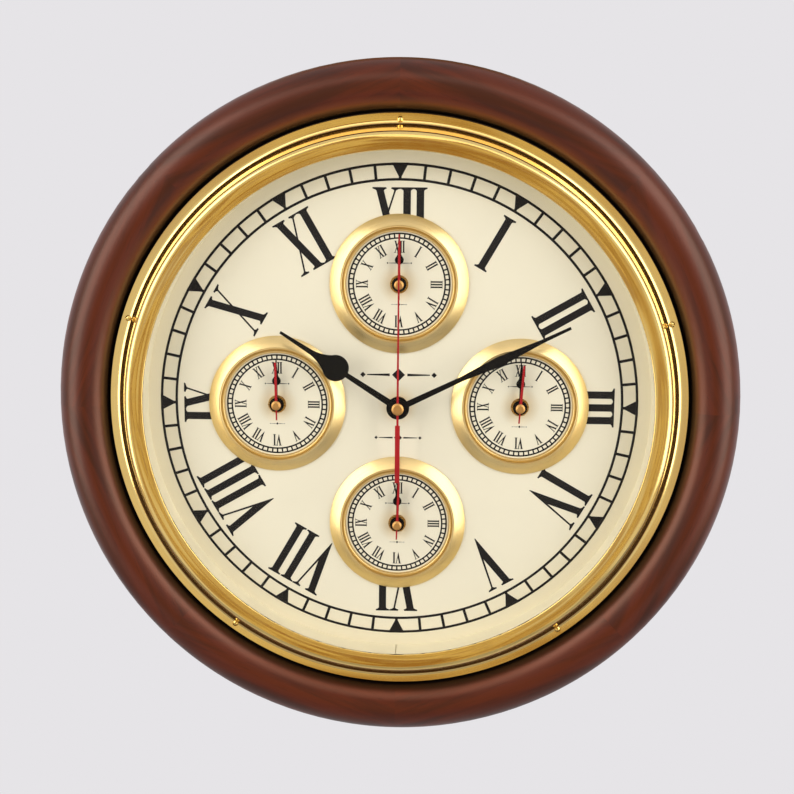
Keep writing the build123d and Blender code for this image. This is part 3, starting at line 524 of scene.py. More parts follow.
def satin_rings(settings):
    """Satin brass of the four small rings, its turning lines round whichever ring is nearest."""
    brass = Finish("satin_brass")
    nearest, *others = (brass.radius((at.x, 0, at.z)) for at in SMALL_ARBORS)
    for distance in others:
        nearest = brass.math("MINIMUM", nearest, distance)
    turning = brass.turned(nearest, 5200.0)
    cloud = brass.noise(brass.place, 70.0, 3.0)
    tone = brass.stained(settings.satin_brass, 0.72, turning, 0.3, 0.7, 0.3)
    tone = brass.mix(brass.between(cloud, 0.5, 0.8, 0.0, 0.3), tone, shade(settings.satin_brass, 0.7))
    return brass.grained(tone, turning, (0.25, 0.38), (0.00002, 0.4), Metallic=1.0, Coat_Weight=0.5,
                         Coat_Roughness=0.22)


def enamel(name, base, roughness, mottle, grain, specular):
    """Sprayed enamel: a faint mottle, and the orange peel of its film."""
    paint = Finish(name)
    cloud = paint.noise(paint.place, 38.0, 4.0)
    peel = paint.noise(paint.place, grain, 2.0)
    return paint.grained(paint.stained(base, mottle, cloud, 0.35, 0.75), peel,
                         (roughness * 0.85, roughness * 1.15), (0.00001, 0.25), Specular=specular)


def dial_enamel(settings):
    """Cream dial, with painted shade and painted reflection of the brass towards its rim and round the arbors.
    """
    rim, painted_hub_reflection = (0.128, 0.156), (0.0055, 0.0125)
    paint = Finish("cream_dial")
    cloud = paint.noise(paint.place, 22.0, 4.0)
    speck = paint.noise(paint.place, 2400.0, 2.0)
    tone = paint.stained(settings.cream, 0.93, cloud, 0.4, 0.8, 0.35)
    # Painted shade and painted reflection of the bezel: the dial warmer and darker towards its rim.
    tone = paint.mix(paint.between(paint.radius((0, 0, AXIS_Z)), *rim, 0.0, 0.20), tone, srgb(234, 217, 166))
    # Painted shade and painted reflection of the brass nut and cap: a warm tint round each arbor.
    for centre in (ARBOR["minute"], *SMALL_ARBORS):
        share = paint.between(paint.radius((centre.x, 0, centre.z)), *painted_hub_reflection, 0.38, 0.0)
        tone = paint.mix(share, tone, srgb(226, 190, 118))
    return paint.grained(tone, speck, (0.36, 0.50), (0.000008, 0.3))


def printing_ink(settings):
    """Matt screen ink."""
    ink = Finish("printing_ink")
    speck = ink.noise(ink.place, 1800.0, 3.0)
    tone = ink.stained(settings.ink, 1.7, speck, 0.45, 0.8, 0.6)
    return ink.grained(tone, speck, (0.50, 0.66), (0.000006, 0.3), Specular=0.2)


def clear_glass():
    """Flat glass: what is behind shows through, with a mirror that grows at a low angle and a little dust."""
    glass = Finish("clear_glass")
    dust = glass.noise(glass.place, 320.0, 5.0, 0.7)
    glass.set(Base_Color=(0.96, 0.98, 0.97), Metallic=1.0,
              Roughness=glass.between(dust, 0.5, 0.8, 0.01, 0.05))
    angle = glass.add("ShaderNodeLayerWeight").outputs["Facing"]
    mirror = glass.math("MULTIPLY", glass.math("POWER", angle, 6.0), 0.5)
    glass.blend(glass.math("ADD", mirror, glass.between(dust, 0.60, 0.85, 0.003, 0.010)),
                glass.add("ShaderNodeBsdfTransparent"), glass.surface)
    return glass.material


def fibreboard(settings):
    """Pressed board with short fibres."""
    board = Finish("fibreboard")
    fibre = board.noise(board.moved(scale=(260.0, 900.0, 900.0)), 1.0, 5.0, 0.7)
    cross = board.noise(board.moved(scale=(900.0, 900.0, 300.0)), 1.0, 4.0, 0.7)
    felt = board.math("MULTIPLY", board.math("ADD", fibre, cross), 0.5)
    board.set(Base_Color=board.mix(board.between(felt, 0.36, 0.64), shade(settings.board, 1.18),
                                   shade(settings.board, 0.62)), Roughness=0.82)
    board.bump(felt, 0.00012, 0.5)
    return board.material


def moulded(name, base, grain=3200.0, roughness=0.5, depth=0.00003):
    """Moulded plastic with an eroded surface."""
    plastic = Finish(name)
    texture = plastic.noise(plastic.place, grain, 3.0, 0.6)
    cloud = plastic.noise(plastic.place, 90.0, 3.0)
    tone = plastic.stained(base, 0.82, cloud, 0.35, 0.7)
    return plastic.grained(tone, texture, (roughness - 0.08, roughness + 0.10), (depth, 0.5))


def plated(name, base, roughness=0.30):
    """Plated metal with a drawn grain along X."""
    metal = Finish(name)
    drawn = metal.noise(metal.moved(scale=(40.0, 2200.0, 2200.0)), 1.0, 3.0, 0.6)
    cloud = metal.noise(metal.place, 160.0, 3.0)
    tone = metal.stained(base, 0.75, cloud, 0.45, 0.75, 0.5)
    return metal.grained(tone, drawn, (roughness - 0.08, roughness + 0.10), (0.00001, 0.3), Metallic=1.0)


def winding(settings):
    """Enamelled wire, wound in turns along the coil, with painted shade in the creases between the turns."""
    wire = Finish("copper_winding")
    waves = {"wave_type": "BANDS", "bands_direction": "Z", "wave_profile": "SIN"}
    turns = wire.add("ShaderNodeTexWave", waves, Vector=wire.place, Scale=1100.0).outputs["Fac"]
    # The darker colour between the turns is painted shade in the creases.
    wire.set(Base_Color=wire.mix(turns, shade(settings.copper, 0.35), settings.copper), Metallic=0.85,
             Roughness=0.36)
    wire.bump(turns, 0.0001, 0.8)
    return wire.material


def cell_finish(name, settings):
    """Printed sleeve of a cell: a plain body, a band at the button end and bare metal at both ends."""
    band_edge, button_edge, foot_edge = (0.0146, 0.0144), (0.0024, 0.0023), (0.0012, 0.0011)
    sleeve = Finish(f"{name}_cell_sleeve")
    low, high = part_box(f"{name}_cell")
    x = sleeve.parts(sleeve.place)[0]
    cloud = sleeve.noise(sleeve.place, 700.0, 3.0)
    body = sleeve.stained(settings.sleeve, 0.85, cloud, 0.4, 0.7)
    band, button = (sleeve.between(x, *(high.x - inward for inward in edge))
                    for edge in (band_edge, button_edge))
    metal = sleeve.math("MAXIMUM", button, sleeve.between(x, *(low.x + inward for inward in foot_edge)))
    tone = sleeve.mix(metal, sleeve.mix(band, body, settings.sleeve_band), settings.steel)
    sleeve.set(Base_Color=tone, Metallic=sleeve.math("MAXIMUM", metal, sleeve.math("MULTIPLY", band, 0.8)),
               Roughness=sleeve.between(cloud, 0.3, 0.7, 0.24, 0.36))
    sleeve.bump(metal, 0.00006, 0.5)
    return sleeve.material


# Numerals, drawn in heights of a letter
STEM, HAIR = 0.128, 0.030
SMALL_STEM, SMALL_HAIR = 0.125, 0.060
SERIF, HAIR_SERIF = 0.055, 0.064
SLAB, BRACKET = 0.026, 0.056
LETTER_GAP, TIGHT_GAP = 0.018, -0.012
HOURS = ("XII", "I", "II", "III", "IV", "V", "VI", "VII", "VIII", "IX", "X", "XI")

# Height over the arbor and share of the full width of each ornament
ORNAMENTS = ((0.0185, 1.0), (-0.0200, 0.62))
SMALL_ORNAMENTS = ((0.0125, 1.0), (-0.0120, 0.6))


def serif(left, right, end, reach, lean=0.0):
    """Outline of a bracketed serif at the foot (0) or head (1) of a stroke that leans by so much a height."""
    turn = 1 - 2 * end
    waist, lift = reach * 0.4, SLAB * 1.4
    steps = ((reach, 0), (reach, SLAB), (waist, lift), (0, BRACKET))
    after = [(right + out + lean * turn * up, end + turn * up) for out, up in steps]
    before = [(left - out + lean * turn * up, end + turn * up) for out, up in steps]
    return after + before[::-1]


def stroke(foot, head, width, reach):
    """Outlines of a straight stroke, by the middles of its foot and head, with a serif at each."""
    half = width / 2
    bar = [(foot - half, 0), (foot + half, 0), (head + half, 1), (head - half, 1)]
    return [bar] + [serif(middle - half, middle + half, end, reach, head - foot)
                    for end, middle in ((0, foot), (1, head))]


def letter_v(stem, hair):
    """Outlines of a five, its thick stroke on the left."""
    thick, thin, tip, blunt = 0.118, 0.425, 0.246, 0.006
    left, right = thick - stem / 2, thick + stem / 2
    low, high = thin - hair / 2, thin + hair / 2
    fall, rise = tip - left, high - tip
    deep = (low - right) / (fall + rise)
    body = [(tip - blunt, 0), (tip + blunt, 0), (high, 1), (low, 1), (right + fall * deep, 1 - deep),
            (right, 1), (left, 1)]
    return [body, serif(left, right, 1, SERIF, -fall), serif(low, high, 1, HAIR_SERIF, rise)]


def letters(stem, hair):
    """Outlines and width of each letter."""
    one = stem / 2 + SERIF
    return {"I": (stroke(one, one, stem, SERIF), 2 * one),
            "V": (letter_v(stem, hair), 0.490),
            "X": (stroke(0.370, 0.112, stem, SERIF) + stroke(0.078, 0.400, hair, HAIR_SERIF), 0.480)}


def numeral_ring(centre, outer, height, stem, hair):
    """Outlines of the twelve numerals round a centre, their feet towards it."""
    drawn, placed = letters(stem, hair), []
    for hour, text in enumerate(HOURS):
        turn = Matrix.Rotation(-math.radians(30 * hour), 2)
        gap = LETTER_GAP if "V" in text else TIGHT_GAP
        pen = -sum(drawn[letter][1] for letter in text) / 2 - gap * (len(text) - 1) / 2
        for letter in text:
            outlines, width = drawn[letter]
            for outline in outlines:
                placed.append(([tuple(turn @ Vector(((pen + x) * height, outer - height + y * height)))
                                for x, y in outline], centre))
            pen += width + gap
    return placed


def ornament(width, rise):
    """Outlines of a lozenge between two tapered rules with small end lozenges, at a height over a centre."""
    tall = width * 0.085
    rule_start, rule_end, bead_place = tall * 1.35, width * 0.41, width * 0.465
    thick, thin, bead = tall * 0.20, tall * 0.08, tall * 0.42

    def lozenge(x, size):
        return [(x - size, rise), (x, rise - size), (x + size, rise), (x, rise + size)]

    shapes = [lozenge(0, tall)]
    for side in (-1, 1):
        rule = [(side * rule_start, rise - thick), (side * rule_end, rise - thin),
                (side * rule_end, rise + thin), (side * rule_start, rise + thick)]
        shapes += [rule, lozenge(side * bead_place, bead)]
    return shapes


# Geometry Nodes
class Growth(Nodes):
    """A Geometry Nodes tree with named inputs."""

    def __init__(self, name):
        tree = bpy.data.node_groups.new(name, "GeometryNodeTree")
        for way in ("INPUT", "OUTPUT"):
            tree.interface.new_socket("Geometry", in_out=way, socket_type="NodeSocketGeometry")
        super().__init__(tree, "NodeGroupOutput")
        self.inputs = self.add("NodeGroupInput")
        self.names = {}

    def input(self, name, kind="Float"):
        """Named input socket, and its output in the tree."""
        socket = self.tree.interface.new_socket(name, in_out="INPUT", socket_type=f"NodeSocket{kind}")
        self.names[name] = socket.identifier
        return self.inputs.outputs[name]

    def end(self, geometry, material):
        """Realise the instances and set their material."""
        real = self.add("GeometryNodeRealizeInstances", Geometry=geometry)
        dressed = self.add("GeometryNodeSetMaterial", Geometry=real.outputs[0], Material=material)
        self.feed(self.output.inputs["Geometry"], dressed.outputs[0])

    def grow(self, name, base, **values):
        """Plain mesh object grown on a base mesh with these input values."""
        piece = link(name, base)
        modifier = piece.modifiers.new("growth", "NODES")
        modifier.node_group = self.tree
        for key, value in values.items():
            modifier[self.names[key.replace("_", " ")]] = value
        return plain_mesh(piece)


def track_tree():
    """Tree of a minute track: two lines, minute ticks and hour triangles, in films of three heights."""
    tick_film, mark_film = 0.6, 0.8
    tree = Growth("minute_track")
    outer, inner = tree.input("Outer"), tree.input("Inner")
    line, tick = tree.input("Line"), tree.input("Tick")
    base, height = tree.input("Mark Base"), tree.input("Mark Height")
    film, place, ink = tree.input("Film"), tree.input("Place", "Vector"), tree.input("Ink", "Material")
    bar = tree.add("GeometryNodeCurvePrimitiveQuadrilateral", Width=line, Height=film)
    lines = []
    for radius in (outer, inner):
        circle = tree.add("GeometryNodeCurvePrimitiveCircle", Resolution=240, Radius=radius)
        lines.append(tree.add("GeometryNodeCurveToMesh", Curve=circle.outputs[0],
                              Profile_Curve=bar.outputs[0]))
    deep = tree.math("SUBTRACT", outer, inner)
    middle = tree.math("MULTIPLY", tree.math("ADD", outer, inner), 0.5)
    size = tree.vector(deep, tick, tree.math("MULTIPLY", film, tick_film))
    block = tree.add("GeometryNodeMeshCube", Size=size)
    wedge = tree.add("GeometryNodeMeshCylinder", Vertices=3, Radius=1.0, Depth=1.0)
    seated = tree.math("SUBTRACT", tree.math("ADD", outer, tree.math("MULTIPLY", line, 0.5)),
                       tree.math("DIVIDE", height, 3.0))
    size = tree.vector(tree.math("DIVIDE", height, 1.5), tree.math("DIVIDE", base, math.sqrt(3)),
                       tree.math("MULTIPLY", film, mark_film))
    marks = []
    for count, radius, shape, scale, spin in ((60, middle, block, None, 0.0),
                                              (12, seated, wedge, size, math.pi)):
        ring = tree.add("GeometryNodeMeshCircle", Vertices=count, Radius=radius)
        spot = tree.add("GeometryNodeInputPosition")
        turned = tree.add("FunctionNodeAlignRotationToVector", {"axis": "X", "pivot_axis": "Z"},
                          Vector=spot.outputs[0])
        spun = tree.add("FunctionNodeRotateRotation", {"rotation_space": "LOCAL"}, Rotation=turned.outputs[0])
        tree.feed(spun.inputs["Rotate By"], (0.0, 0.0, spin))
        placed = tree.add("GeometryNodeInstanceOnPoints", Points=ring.outputs[0], Instance=shape.outputs[0],
                          Rotation=spun.outputs[0])
        if scale is not None:
            tree.feed(placed.inputs["Scale"], scale)
        marks.append(placed)
    whole = tree.add("GeometryNodeJoinGeometry")
    for node in (*lines, *marks):
        tree.feed(whole.inputs[0], node.outputs[0])
    upright = tree.add("GeometryNodeTransform", Geometry=whole.outputs[0], Translation=place)
    tree.feed(upright.inputs["Rotation"], (math.pi / 2, 0.0, 0.0))
    tree.end(upright.outputs[0], ink)
    return tree


def screw_tree():
    """Tree that sets a screw on each vertex of its base, each turned at random about Y."""
    tree = Growth("screws")
    screw, seed = tree.input("Screw", "Object"), tree.input("Seed", "Int")
    metal = tree.input("Metal", "Material")
    shape = tree.add("GeometryNodeObjectInfo", Object=screw)
    turn = tree.add("FunctionNodeRandomValue", Seed=seed)
    turn.inputs[3].default_value = 2 * math.pi
    placed = tree.add("GeometryNodeInstanceOnPoints", Points=tree.inputs.outputs["Geometry"],
                      Instance=shape.outputs["Geometry"], Rotation=tree.vector(0.0, turn.outputs[1], 0.0))
    tree.end(placed.outputs[0], metal)
    return tree


def ring_places(radius, count, start):
    """Places evenly round the clock's axis, right and up from it."""
    angles = (start + 2 * math.pi * i / count for i in range(count))
    return [(radius * math.cos(angle), radius * math.sin(angle)) for angle in angles]


def place_mesh(name, places, height):
    """Mesh of bare vertices at places of the dial's plane."""
    mesh = bpy.data.meshes.new(name)
    mesh.from_pydata([on_dial(place, Vector((0, 0, AXIS_Z)), height) for place in places], [], [])
    return mesh


def screw_master(name, profile, driver_width, driver_depth, arms, facing):
    """One screw at the origin with its drive cut in: a slot for 1 arm, a cross for 2."""
    slot_reach, cross_reach = 2.4, 1.25
    screw = turned_piece(name, profile, [Vector()], 32)
    head = max(forward for radius, forward in profile)
    reach = max(radius for radius, forward in profile) * (slot_reach if arms == 1 else cross_reach)
    cutters = []
    for arm in range(arms):
        bm = bmesh.new()
        bmesh.ops.create_cube(bm, size=1)
        across, upward = (driver_width, reach) if arm else (reach, driver_width)
        size = (across, 2 * driver_depth, upward)
        bmesh.ops.transform(bm, verts=bm.verts,
                            matrix=Matrix.Translation((0, -head, 0)) @ Matrix.Diagonal((*size, 1)))
        cutters.append(from_bmesh(f"{name}_cutter_{arm}", bm))
    carve(screw, cutters)
    if facing > 0:
        screw.data.transform(Matrix.Rotation(math.pi, 4, "Z"))
    smooth(screw)
    return screw


def grow_screws(name, master, places, height, seed, material):
    """Screws grown at places, from a master that is then removed."""
    piece = screw_tree().grow(name, place_mesh(name, places, height), Screw=master, Seed=seed, Metal=material)
    bpy.data.objects.remove(master)
    return piece


def dome(radius, height, shank, depth, steps=7):
    """Profile of a round head on a shank, from its crown to its tip."""
    crown = (radius ** 2 + height ** 2) / (2 * height)
    rim = math.asin(radius / crown)
    head = [(crown * math.sin(rim * i / steps), height - crown + crown * math.cos(rim * i / steps))
            for i in range(steps + 1)]
    return [(0, height)] + head[1:] + [(shank, 0), (shank, -depth), (0, -depth - shank)]


class CLOCK_OT_wood(bpy.types.Operator):
    """Finish the wooden ring and the board behind the dial"""
    bl_idname = "clock.wood"
    bl_label = "Wood"

    def execute(self, context):
        colours = context.scene.clock_finish
        dress(["wooden_ring"], mahogany(colours))
        dress(["dial_board"], fibreboard(colours))
        return {"FINISHED"}


def bezel_section():
    """Closed section of the bezel as (radius, forward), over its front from the lip and back under it."""
    low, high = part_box("bezel")

    def at(inward, below):
        return (high.x - inward / MILLI, -low.y - below / MILLI)

    lip, crown, crest, wall_top = at(21.2, 1.3), at(20.7, 0.8), at(13.1, 0), at(10.3, 1.85)
    wall_foot, flange = at(7.7, 8.05), at(3.6, 10.8)
    front = (bow(lip, crown, 0.146 / MILLI, 5) + bow(crown, crest, 0.2006 / MILLI)[1:]
             + bow(crest, wall_top, 0.5043 / MILLI, 16)[1:] + bow(wall_foot, flange, -0.7511 / MILLI, 16))
    rim = [at(0.12, 10.8), at(0, 10.92), at(0, 11.6)]
    back = [at(6.35, 11.6), at(8.5, 8.45), at(11.1, 2.25), at(13.1, 0.8), at(17.8, 1.2), at(17.8, 3.9),
            at(18.6, 3.9), at(18.6, 2.4), at(21.2, 2.4)]
    return [*front, *rim, *back, front[0]]


def bezel_screw_places():
    """Places of the bezel's screws, right and up from the axis."""
    return ring_places(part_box("bezel_screws")[1].z - AXIS_Z - BEZEL_SCREW_HEAD, 5, math.pi / 2)


def small_ring_section():
    """Closed section of a small dial's ring as (radius, forward): a cone, a crest, a groove and a bead."""
    low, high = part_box("subdial_bezels")
    outer = high.x - ARBOR["right_minute"].x

    def at(inward, below):
        return (outer - inward / MILLI, -low.y - below / MILLI)

    crest = bow(at(6.45, 0.12), at(7.45, 0.1), 0.09 / MILLI, 5)
    bead = bow(at(8.6, 1.7), at(10.0, 1.8), 0.6 / MILLI, 10)
    return [at(0, 4.6), at(0, 3.75), at(0.15, 3.6), *crest, at(7.85, 1.6), at(8.2, 2.1), *bead,
            at(10.0, 3.05), at(6.5, 3.05), at(6.5, 4.6), at(0, 4.6)]


class CLOCK_OT_brass(bpy.types.Operator):
    """Turn the bezel and the rings of the small dials, and finish the nuts"""
    bl_idname = "clock.brass"
    bl_label = "Brass"

    def execute(self, context):
        colours = context.scene.clock_finish
        bed_depth, bed_play, bed_height = 0.01085, 0.00005, 0.003
        piece = turned_piece("turned_bezel", bezel_section(), [ARBOR["minute"]], 360)
        bed, edge = -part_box("bezel")[0].y - bed_depth, BEZEL_SCREW_HEAD + bed_play
        places = [Vector((x, 0, AXIS_Z + z)) for x, z in bezel_screw_places()]
        profile = [(0, bed), (edge, bed), (edge, bed + bed_height), (0, bed + bed_height)]
        carve(piece, [turned_piece("screw_beds", profile, places, 40)])
        smooth(piece)
        brass = spun_brass("polished_brass", colours.brass, 0.13, 4200.0, wave=8.0)
        finish(piece, brass, "case", ["bezel"])
        piece = turned_piece("turned_small_rings", small_ring_section(), SMALL_ARBORS, 144)
        smooth(piece, math.radians(25))
        finish(piece, satin_rings(colours), "case", ["subdial_bezels"])
        dress(["bushing_nuts", "bushing_washers"], plated("nut_bronze", colours.bronze, 0.26))
        return {"FINISHED"}


class CLOCK_OT_bezel_screws(bpy.types.Operator):
    """Make the slotted screws in the bezel's flange"""
    bl_idname = "clock.bezel_screws"
    bl_label = "Bezel screws"

    def execute(self, context):
        low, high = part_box("bezel_screws")
        head_height, shank, tip, slot = 0.0011, 0.0010, 0.0012, 0.0005
        profile = dome(BEZEL_SCREW_HEAD, head_height, shank, high.y - low.y - head_height - tip)
        master = screw_master("bezel_screw", profile, slot, slot, 1, -1)
        brass = plated("screw_brass", shade(context.scene.clock_finish.brass, 0.9), 0.22)
        piece = grow_screws("slotted_bezel_screws", master, bezel_screw_places(), low.y + head_height, 7,
                            brass)
        finish(piece, brass, "case", ["bezel_screws"])
        return {"FINISHED"}


class CLOCK_OT_rear_screws(bpy.types.Operator):
    """Make the cross-head screws of the dial board and of the hanger"""
    bl_idname = "clock.rear_screws"
    bl_label = "Rear screws"

    def execute(self, context):
        steel = plated("screw_steel", context.scene.clock_finish.steel, 0.28)
        shank, cross_width = 0.0014, 0.0008
        low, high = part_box("board_screws")
        head_radius, head_height, tip, cross_depth = 0.0028, 0.0016, 0.0016, 0.0011
        profile = dome(head_radius, head_height, shank, high.y - low.y - head_height - tip)
        master = screw_master("board_screw", profile, cross_width, cross_depth, 2, 1)
        places = ring_places(high.x - head_radius, 6, math.pi / 3)
        piece = grow_screws("cross_head_board_screws", master, places, high.y - head_height, 11, steel)
        finish(piece, steel, "case", ["board_screws"])
        low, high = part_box("hanger_screws")
        head_radius, sunk, tip, cross_depth = 0.0029, 0.0015, 0.0014, 0.0009
        depth = high.y - low.y
        profile = [(0, 0), (head_radius, 0), (shank, -sunk), (shank, -depth + tip), (0, -depth)]
        master = screw_master("hanger_screw", profile, cross_width, cross_depth, 2, 1)
        middle = (low.z + high.z) / 2 - AXIS_Z
        places = [(side * (high.x - head_radius), middle) for side in (-1, 1)]
        piece = grow_screws("countersunk_hanger_screws", master, places, high.y, 3, steel)
        finish(piece, steel, "case", ["hanger_screws"])
        return {"FINISHED"}


class CLOCK_OT_tracks(bpy.types.Operator):
    """Print the minute tracks of the five dials"""
    bl_idname = "clock.tracks"
    bl_label = "Minute tracks"

    def execute(self, context):
        sizes = context.scene.clock_print
        ink = printing_ink(context.scene.clock_finish)
        tree = track_tree()

        def track(name, arbor, surface, outer, inner, line, tick, base, height):
            """One dial's track."""
            middle = Vector((arbor.x, surface - INK_LIFT - INK_FILM / 2, arbor.z))
            return tree.grow(name, bpy.data.meshes.new(name), Outer=outer, Inner=inner, Line=line, Tick=tick,
                             Mark_Base=base, Mark_Height=height, Film=INK_FILM, Place=middle, Ink=ink)

        main = track("minute_track", ARBOR["minute"], DIAL_FRONT, sizes.track_outer, sizes.track_inner,
                     sizes.track_line, sizes.track_tick, sizes.hour_mark_base, sizes.hour_mark_height)
        finish(main, ink, "case")
        small = [track(f"{name}_track", arbor, SMALL_FRONT, sizes.small_track_outer, sizes.small_track_inner,
                       sizes.small_track_line, sizes.small_track_tick, sizes.small_track_tick * 2,
                       sizes.small_track_outer - sizes.small_track_inner)
                 for name, arbor in zip(SMALL, SMALL_ARBORS)]
        finish(joined("small_minute_tracks", small), ink, "case")
        return {"FINISHED"}


class CLOCK_OT_numerals(bpy.types.Operator):
    """Print the numerals and ornaments of the five dials"""
    bl_idname = "clock.numerals"
    bl_label = "Numerals"

    def execute(self, context):
        sizes = context.scene.clock_print
        ink = bpy.data.materials["printing_ink"]
        centre = ARBOR["minute"]
        main = numeral_ring(centre, sizes.numeral_outer, sizes.numeral_height, STEM, HAIR)
        finish(ink_film("numerals", main, DIAL_FRONT), ink, "case")
        marks = [(shape, centre) for rise, share in ORNAMENTS
                 for shape in ornament(sizes.ornament_width * share, rise)]
        finish(ink_film("dial_ornaments", marks, DIAL_FRONT), ink, "case")
        small, marks = [], []
        for middle in SMALL_ARBORS:
            small += numeral_ring(middle, sizes.small_numeral_outer, sizes.small_numeral_height,
                                  SMALL_STEM, SMALL_HAIR)
            marks += [(shape, middle) for rise, share in SMALL_ORNAMENTS
                      for shape in ornament(sizes.small_ornament_width * share, rise)]
        finish(ink_film("small_numerals", small, SMALL_FRONT), ink, "case")
        finish(ink_film("small_dial_ornaments", marks, SMALL_FRONT), ink, "case")
        return {"FINISHED"}


class CLOCK_OT_dials(bpy.types.Operator):
    """Finish the dial, the small faces, the strip and the glass"""
    bl_idname = "clock.dials"
    bl_label = "Dials and glass"

    def execute(self, context):
        colours = context.scene.clock_finish
        dress(["dial_plate", "subdial_faces"], dial_enamel(colours))
        dress(["spacer_strip"], enamel("cream_strip", colours.strip_cream, 0.55, 0.93, 900.0, 0.4))
        dress(["glass"], clear_glass())
        return {"FINISHED"}


class CLOCK_OT_hands(bpy.types.Operator):
    """Finish the hands and set a brass cap on each second hand"""
    bl_idname = "clock.hands"
    bl_label = "Hands"

    def execute(self, context):
        colours = context.scene.clock_finish
        cap_radius, small_cap_radius, film = 0.00355, 0.00275, 0.00004
        dress([f"{prefix}{hand}_hand" for prefix in PREFIXES for hand in ("hour", "minute")],
              enamel("black_enamel", colours.black, 0.45, 0.8, 1500.0, 0.12))
        dress([f"{prefix}second_hand" for prefix in PREFIXES],
              enamel("red_enamel", colours.red, 0.42, 0.85, 1500.0, 0.2))
        self.cap("", -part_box("hand_cap")[0].y, cap_radius, colours, ["hand_cap"])
        for name in SMALL:
            self.cap(f"{name}_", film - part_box(f"{name}_second_hand")[0].y, small_cap_radius + film, colours)
        return {"FINISHED"}

    def cap(self, prefix, crown, radius, colours, replaced=()):
        """Bevelled cap on a second hand, its crown so far forward."""
        height, bevel, slope, wall, roof = 0.0015, 0.0006, 0.0010, 0.0008, 0.0012
        base = crown - height
        arbor = ARBOR[f"{prefix}second"]
        profile = [(0, crown), (radius - slope, crown), (radius, crown - bevel), (radius, base),
                   (radius - wall, base), (radius - wall, crown - roof), (0, crown - roof)]
        piece = turned_piece(f"{prefix}brass_hand_cap", profile, [arbor], 48)
        smooth(piece, math.radians(20))
        brass = spun_brass(f"{prefix}cap_brass", colours.cap_gold, 0.45, 9000.0, (arbor.x, 0, arbor.z),
                           coat=0.0)
        finish(piece, brass, f"{prefix}second", replaced)


class CLOCK_OT_movements(bpy.types.Operator):
    """Finish the movements, cells and wheels, and mould the marks on their backs"""
    bl_idname = "clock.movements"
    bl_label = "Movements"

    def execute(self, context):
        colours = context.scene.clock_finish
        plastic = moulded("movement_plastic", colours.plastic)
        dress(["main_case", "main_cover", *(f"{name}_movement" for name in SMALL)], plastic)
        knob = moulded("knob_plastic", colours.knob, 2400.0, 0.42)
        dress([f"{prefix}setting_knob" for prefix in PREFIXES], knob)
        for name in ("main", *SMALL):
            dress([f"{name}_cell"], cell_finish(name, colours))
        dress(["cell_contacts", "hanger_plate"], plated("plated_steel", colours.steel))
        dress(["stator"], plated("stator_steel", shade(colours.steel, 0.8), 0.4))
        dress(["motor_coil"], winding(colours))
        dress(["circuit_board"], moulded("solder_mask", colours.circuit, 5000.0, 0.3, 0.00001))
        dress(["crystal"], plated("crystal_can", (0.78, 0.78, 0.78), 0.18))
        dress(["rotor", "intermediate_wheel", "second_wheel", "third_wheel", "centre_wheel", "minute_pipe",
               "setting_wheel", "hour_wheel"], moulded("wheel_plastic", colours.wheel, 4200.0, 0.38, 0.00001))
        self.back_marks(plastic)
        self.knob_arrows(knob)
        return {"FINISHED"}

    def back_marks(self, plastic):
        """Collars round the knobs, and raised plus and minus signs over the ends of each cell."""
        height, arm, half, inward, above = 0.00035, 0.0014, 0.0003, 0.003, 0.0035
        inner, outer = 0.0072, 0.0080
        minus = [(-arm, -half), (arm, -half), (arm, half), (-arm, half)]
        plus = [(-half, -arm), (half, -arm), (half, -half), (arm, -half), (arm, half), (half, half),
                (half, arm), (-half, arm), (-half, half), (-arm, half), (-arm, -half), (-half, -half)]
        bm = bmesh.new()
        for name, prefix in zip(("main", *SMALL), PREFIXES):
            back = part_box("main_cover" if name == "main" else f"{name}_movement")[1].y
            knob = ARBOR[f"{prefix}setting"]
            collar = [(inner, -back), (inner, -back - height), (outer, -back - height), (outer, -back),
                      (inner, -back)]
            lathe(bm, collar, Vector((knob.x, 0, knob.z)), 48)
            low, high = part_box(f"{name}_cell")
            for x, outline in ((low.x + inward, minus), (high.x - inward, plus)):
                add_prism(bm, outline, Vector((x, 0, high.z + above)), back, back + height)
        finish(from_bmesh("movement_marks", bm), plastic, "case")

    def knob_arrows(self, knob):
        """Raised arrow on the back of each knob, the way that it turns the hands on."""
        inner, outer, height, steps = 0.0027, 0.0036, 0.0003, 14
        outer_barb, inner_barb, tip_turn = 1.23 * outer, 0.62 * inner, 0.55
        sweep = [math.radians(200 - 230 * i / steps) for i in range(steps + 1)]
        end = sweep[-1]

        def spots(*pairs):
            """Points from their radii and angles."""
            return [(radius * math.cos(angle), radius * math.sin(angle)) for radius, angle in pairs]

        ribbon = spots(*((outer, angle) for angle in sweep), *((inner, angle) for angle in reversed(sweep)))
        head = spots((outer_barb, end), (inner_barb, end), ((inner + outer) / 2, end - tip_turn))
        for name in PREFIXES:
            arbor = ARBOR[f"{name}setting"]
            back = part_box(f"{name}setting_knob")[1].y
            bm = bmesh.new()
            for outline in (ribbon, head):
                add_prism(bm, outline, Vector((arbor.x, 0, arbor.z)), back, back + height)
            bm.normal_update()
            bmesh.ops.triangulate(bm, faces=[face for face in bm.faces if len(face.verts) > 4])
            finish(from_bmesh(f"{name}knob_arrow", bm), knob, f"{name}setting")


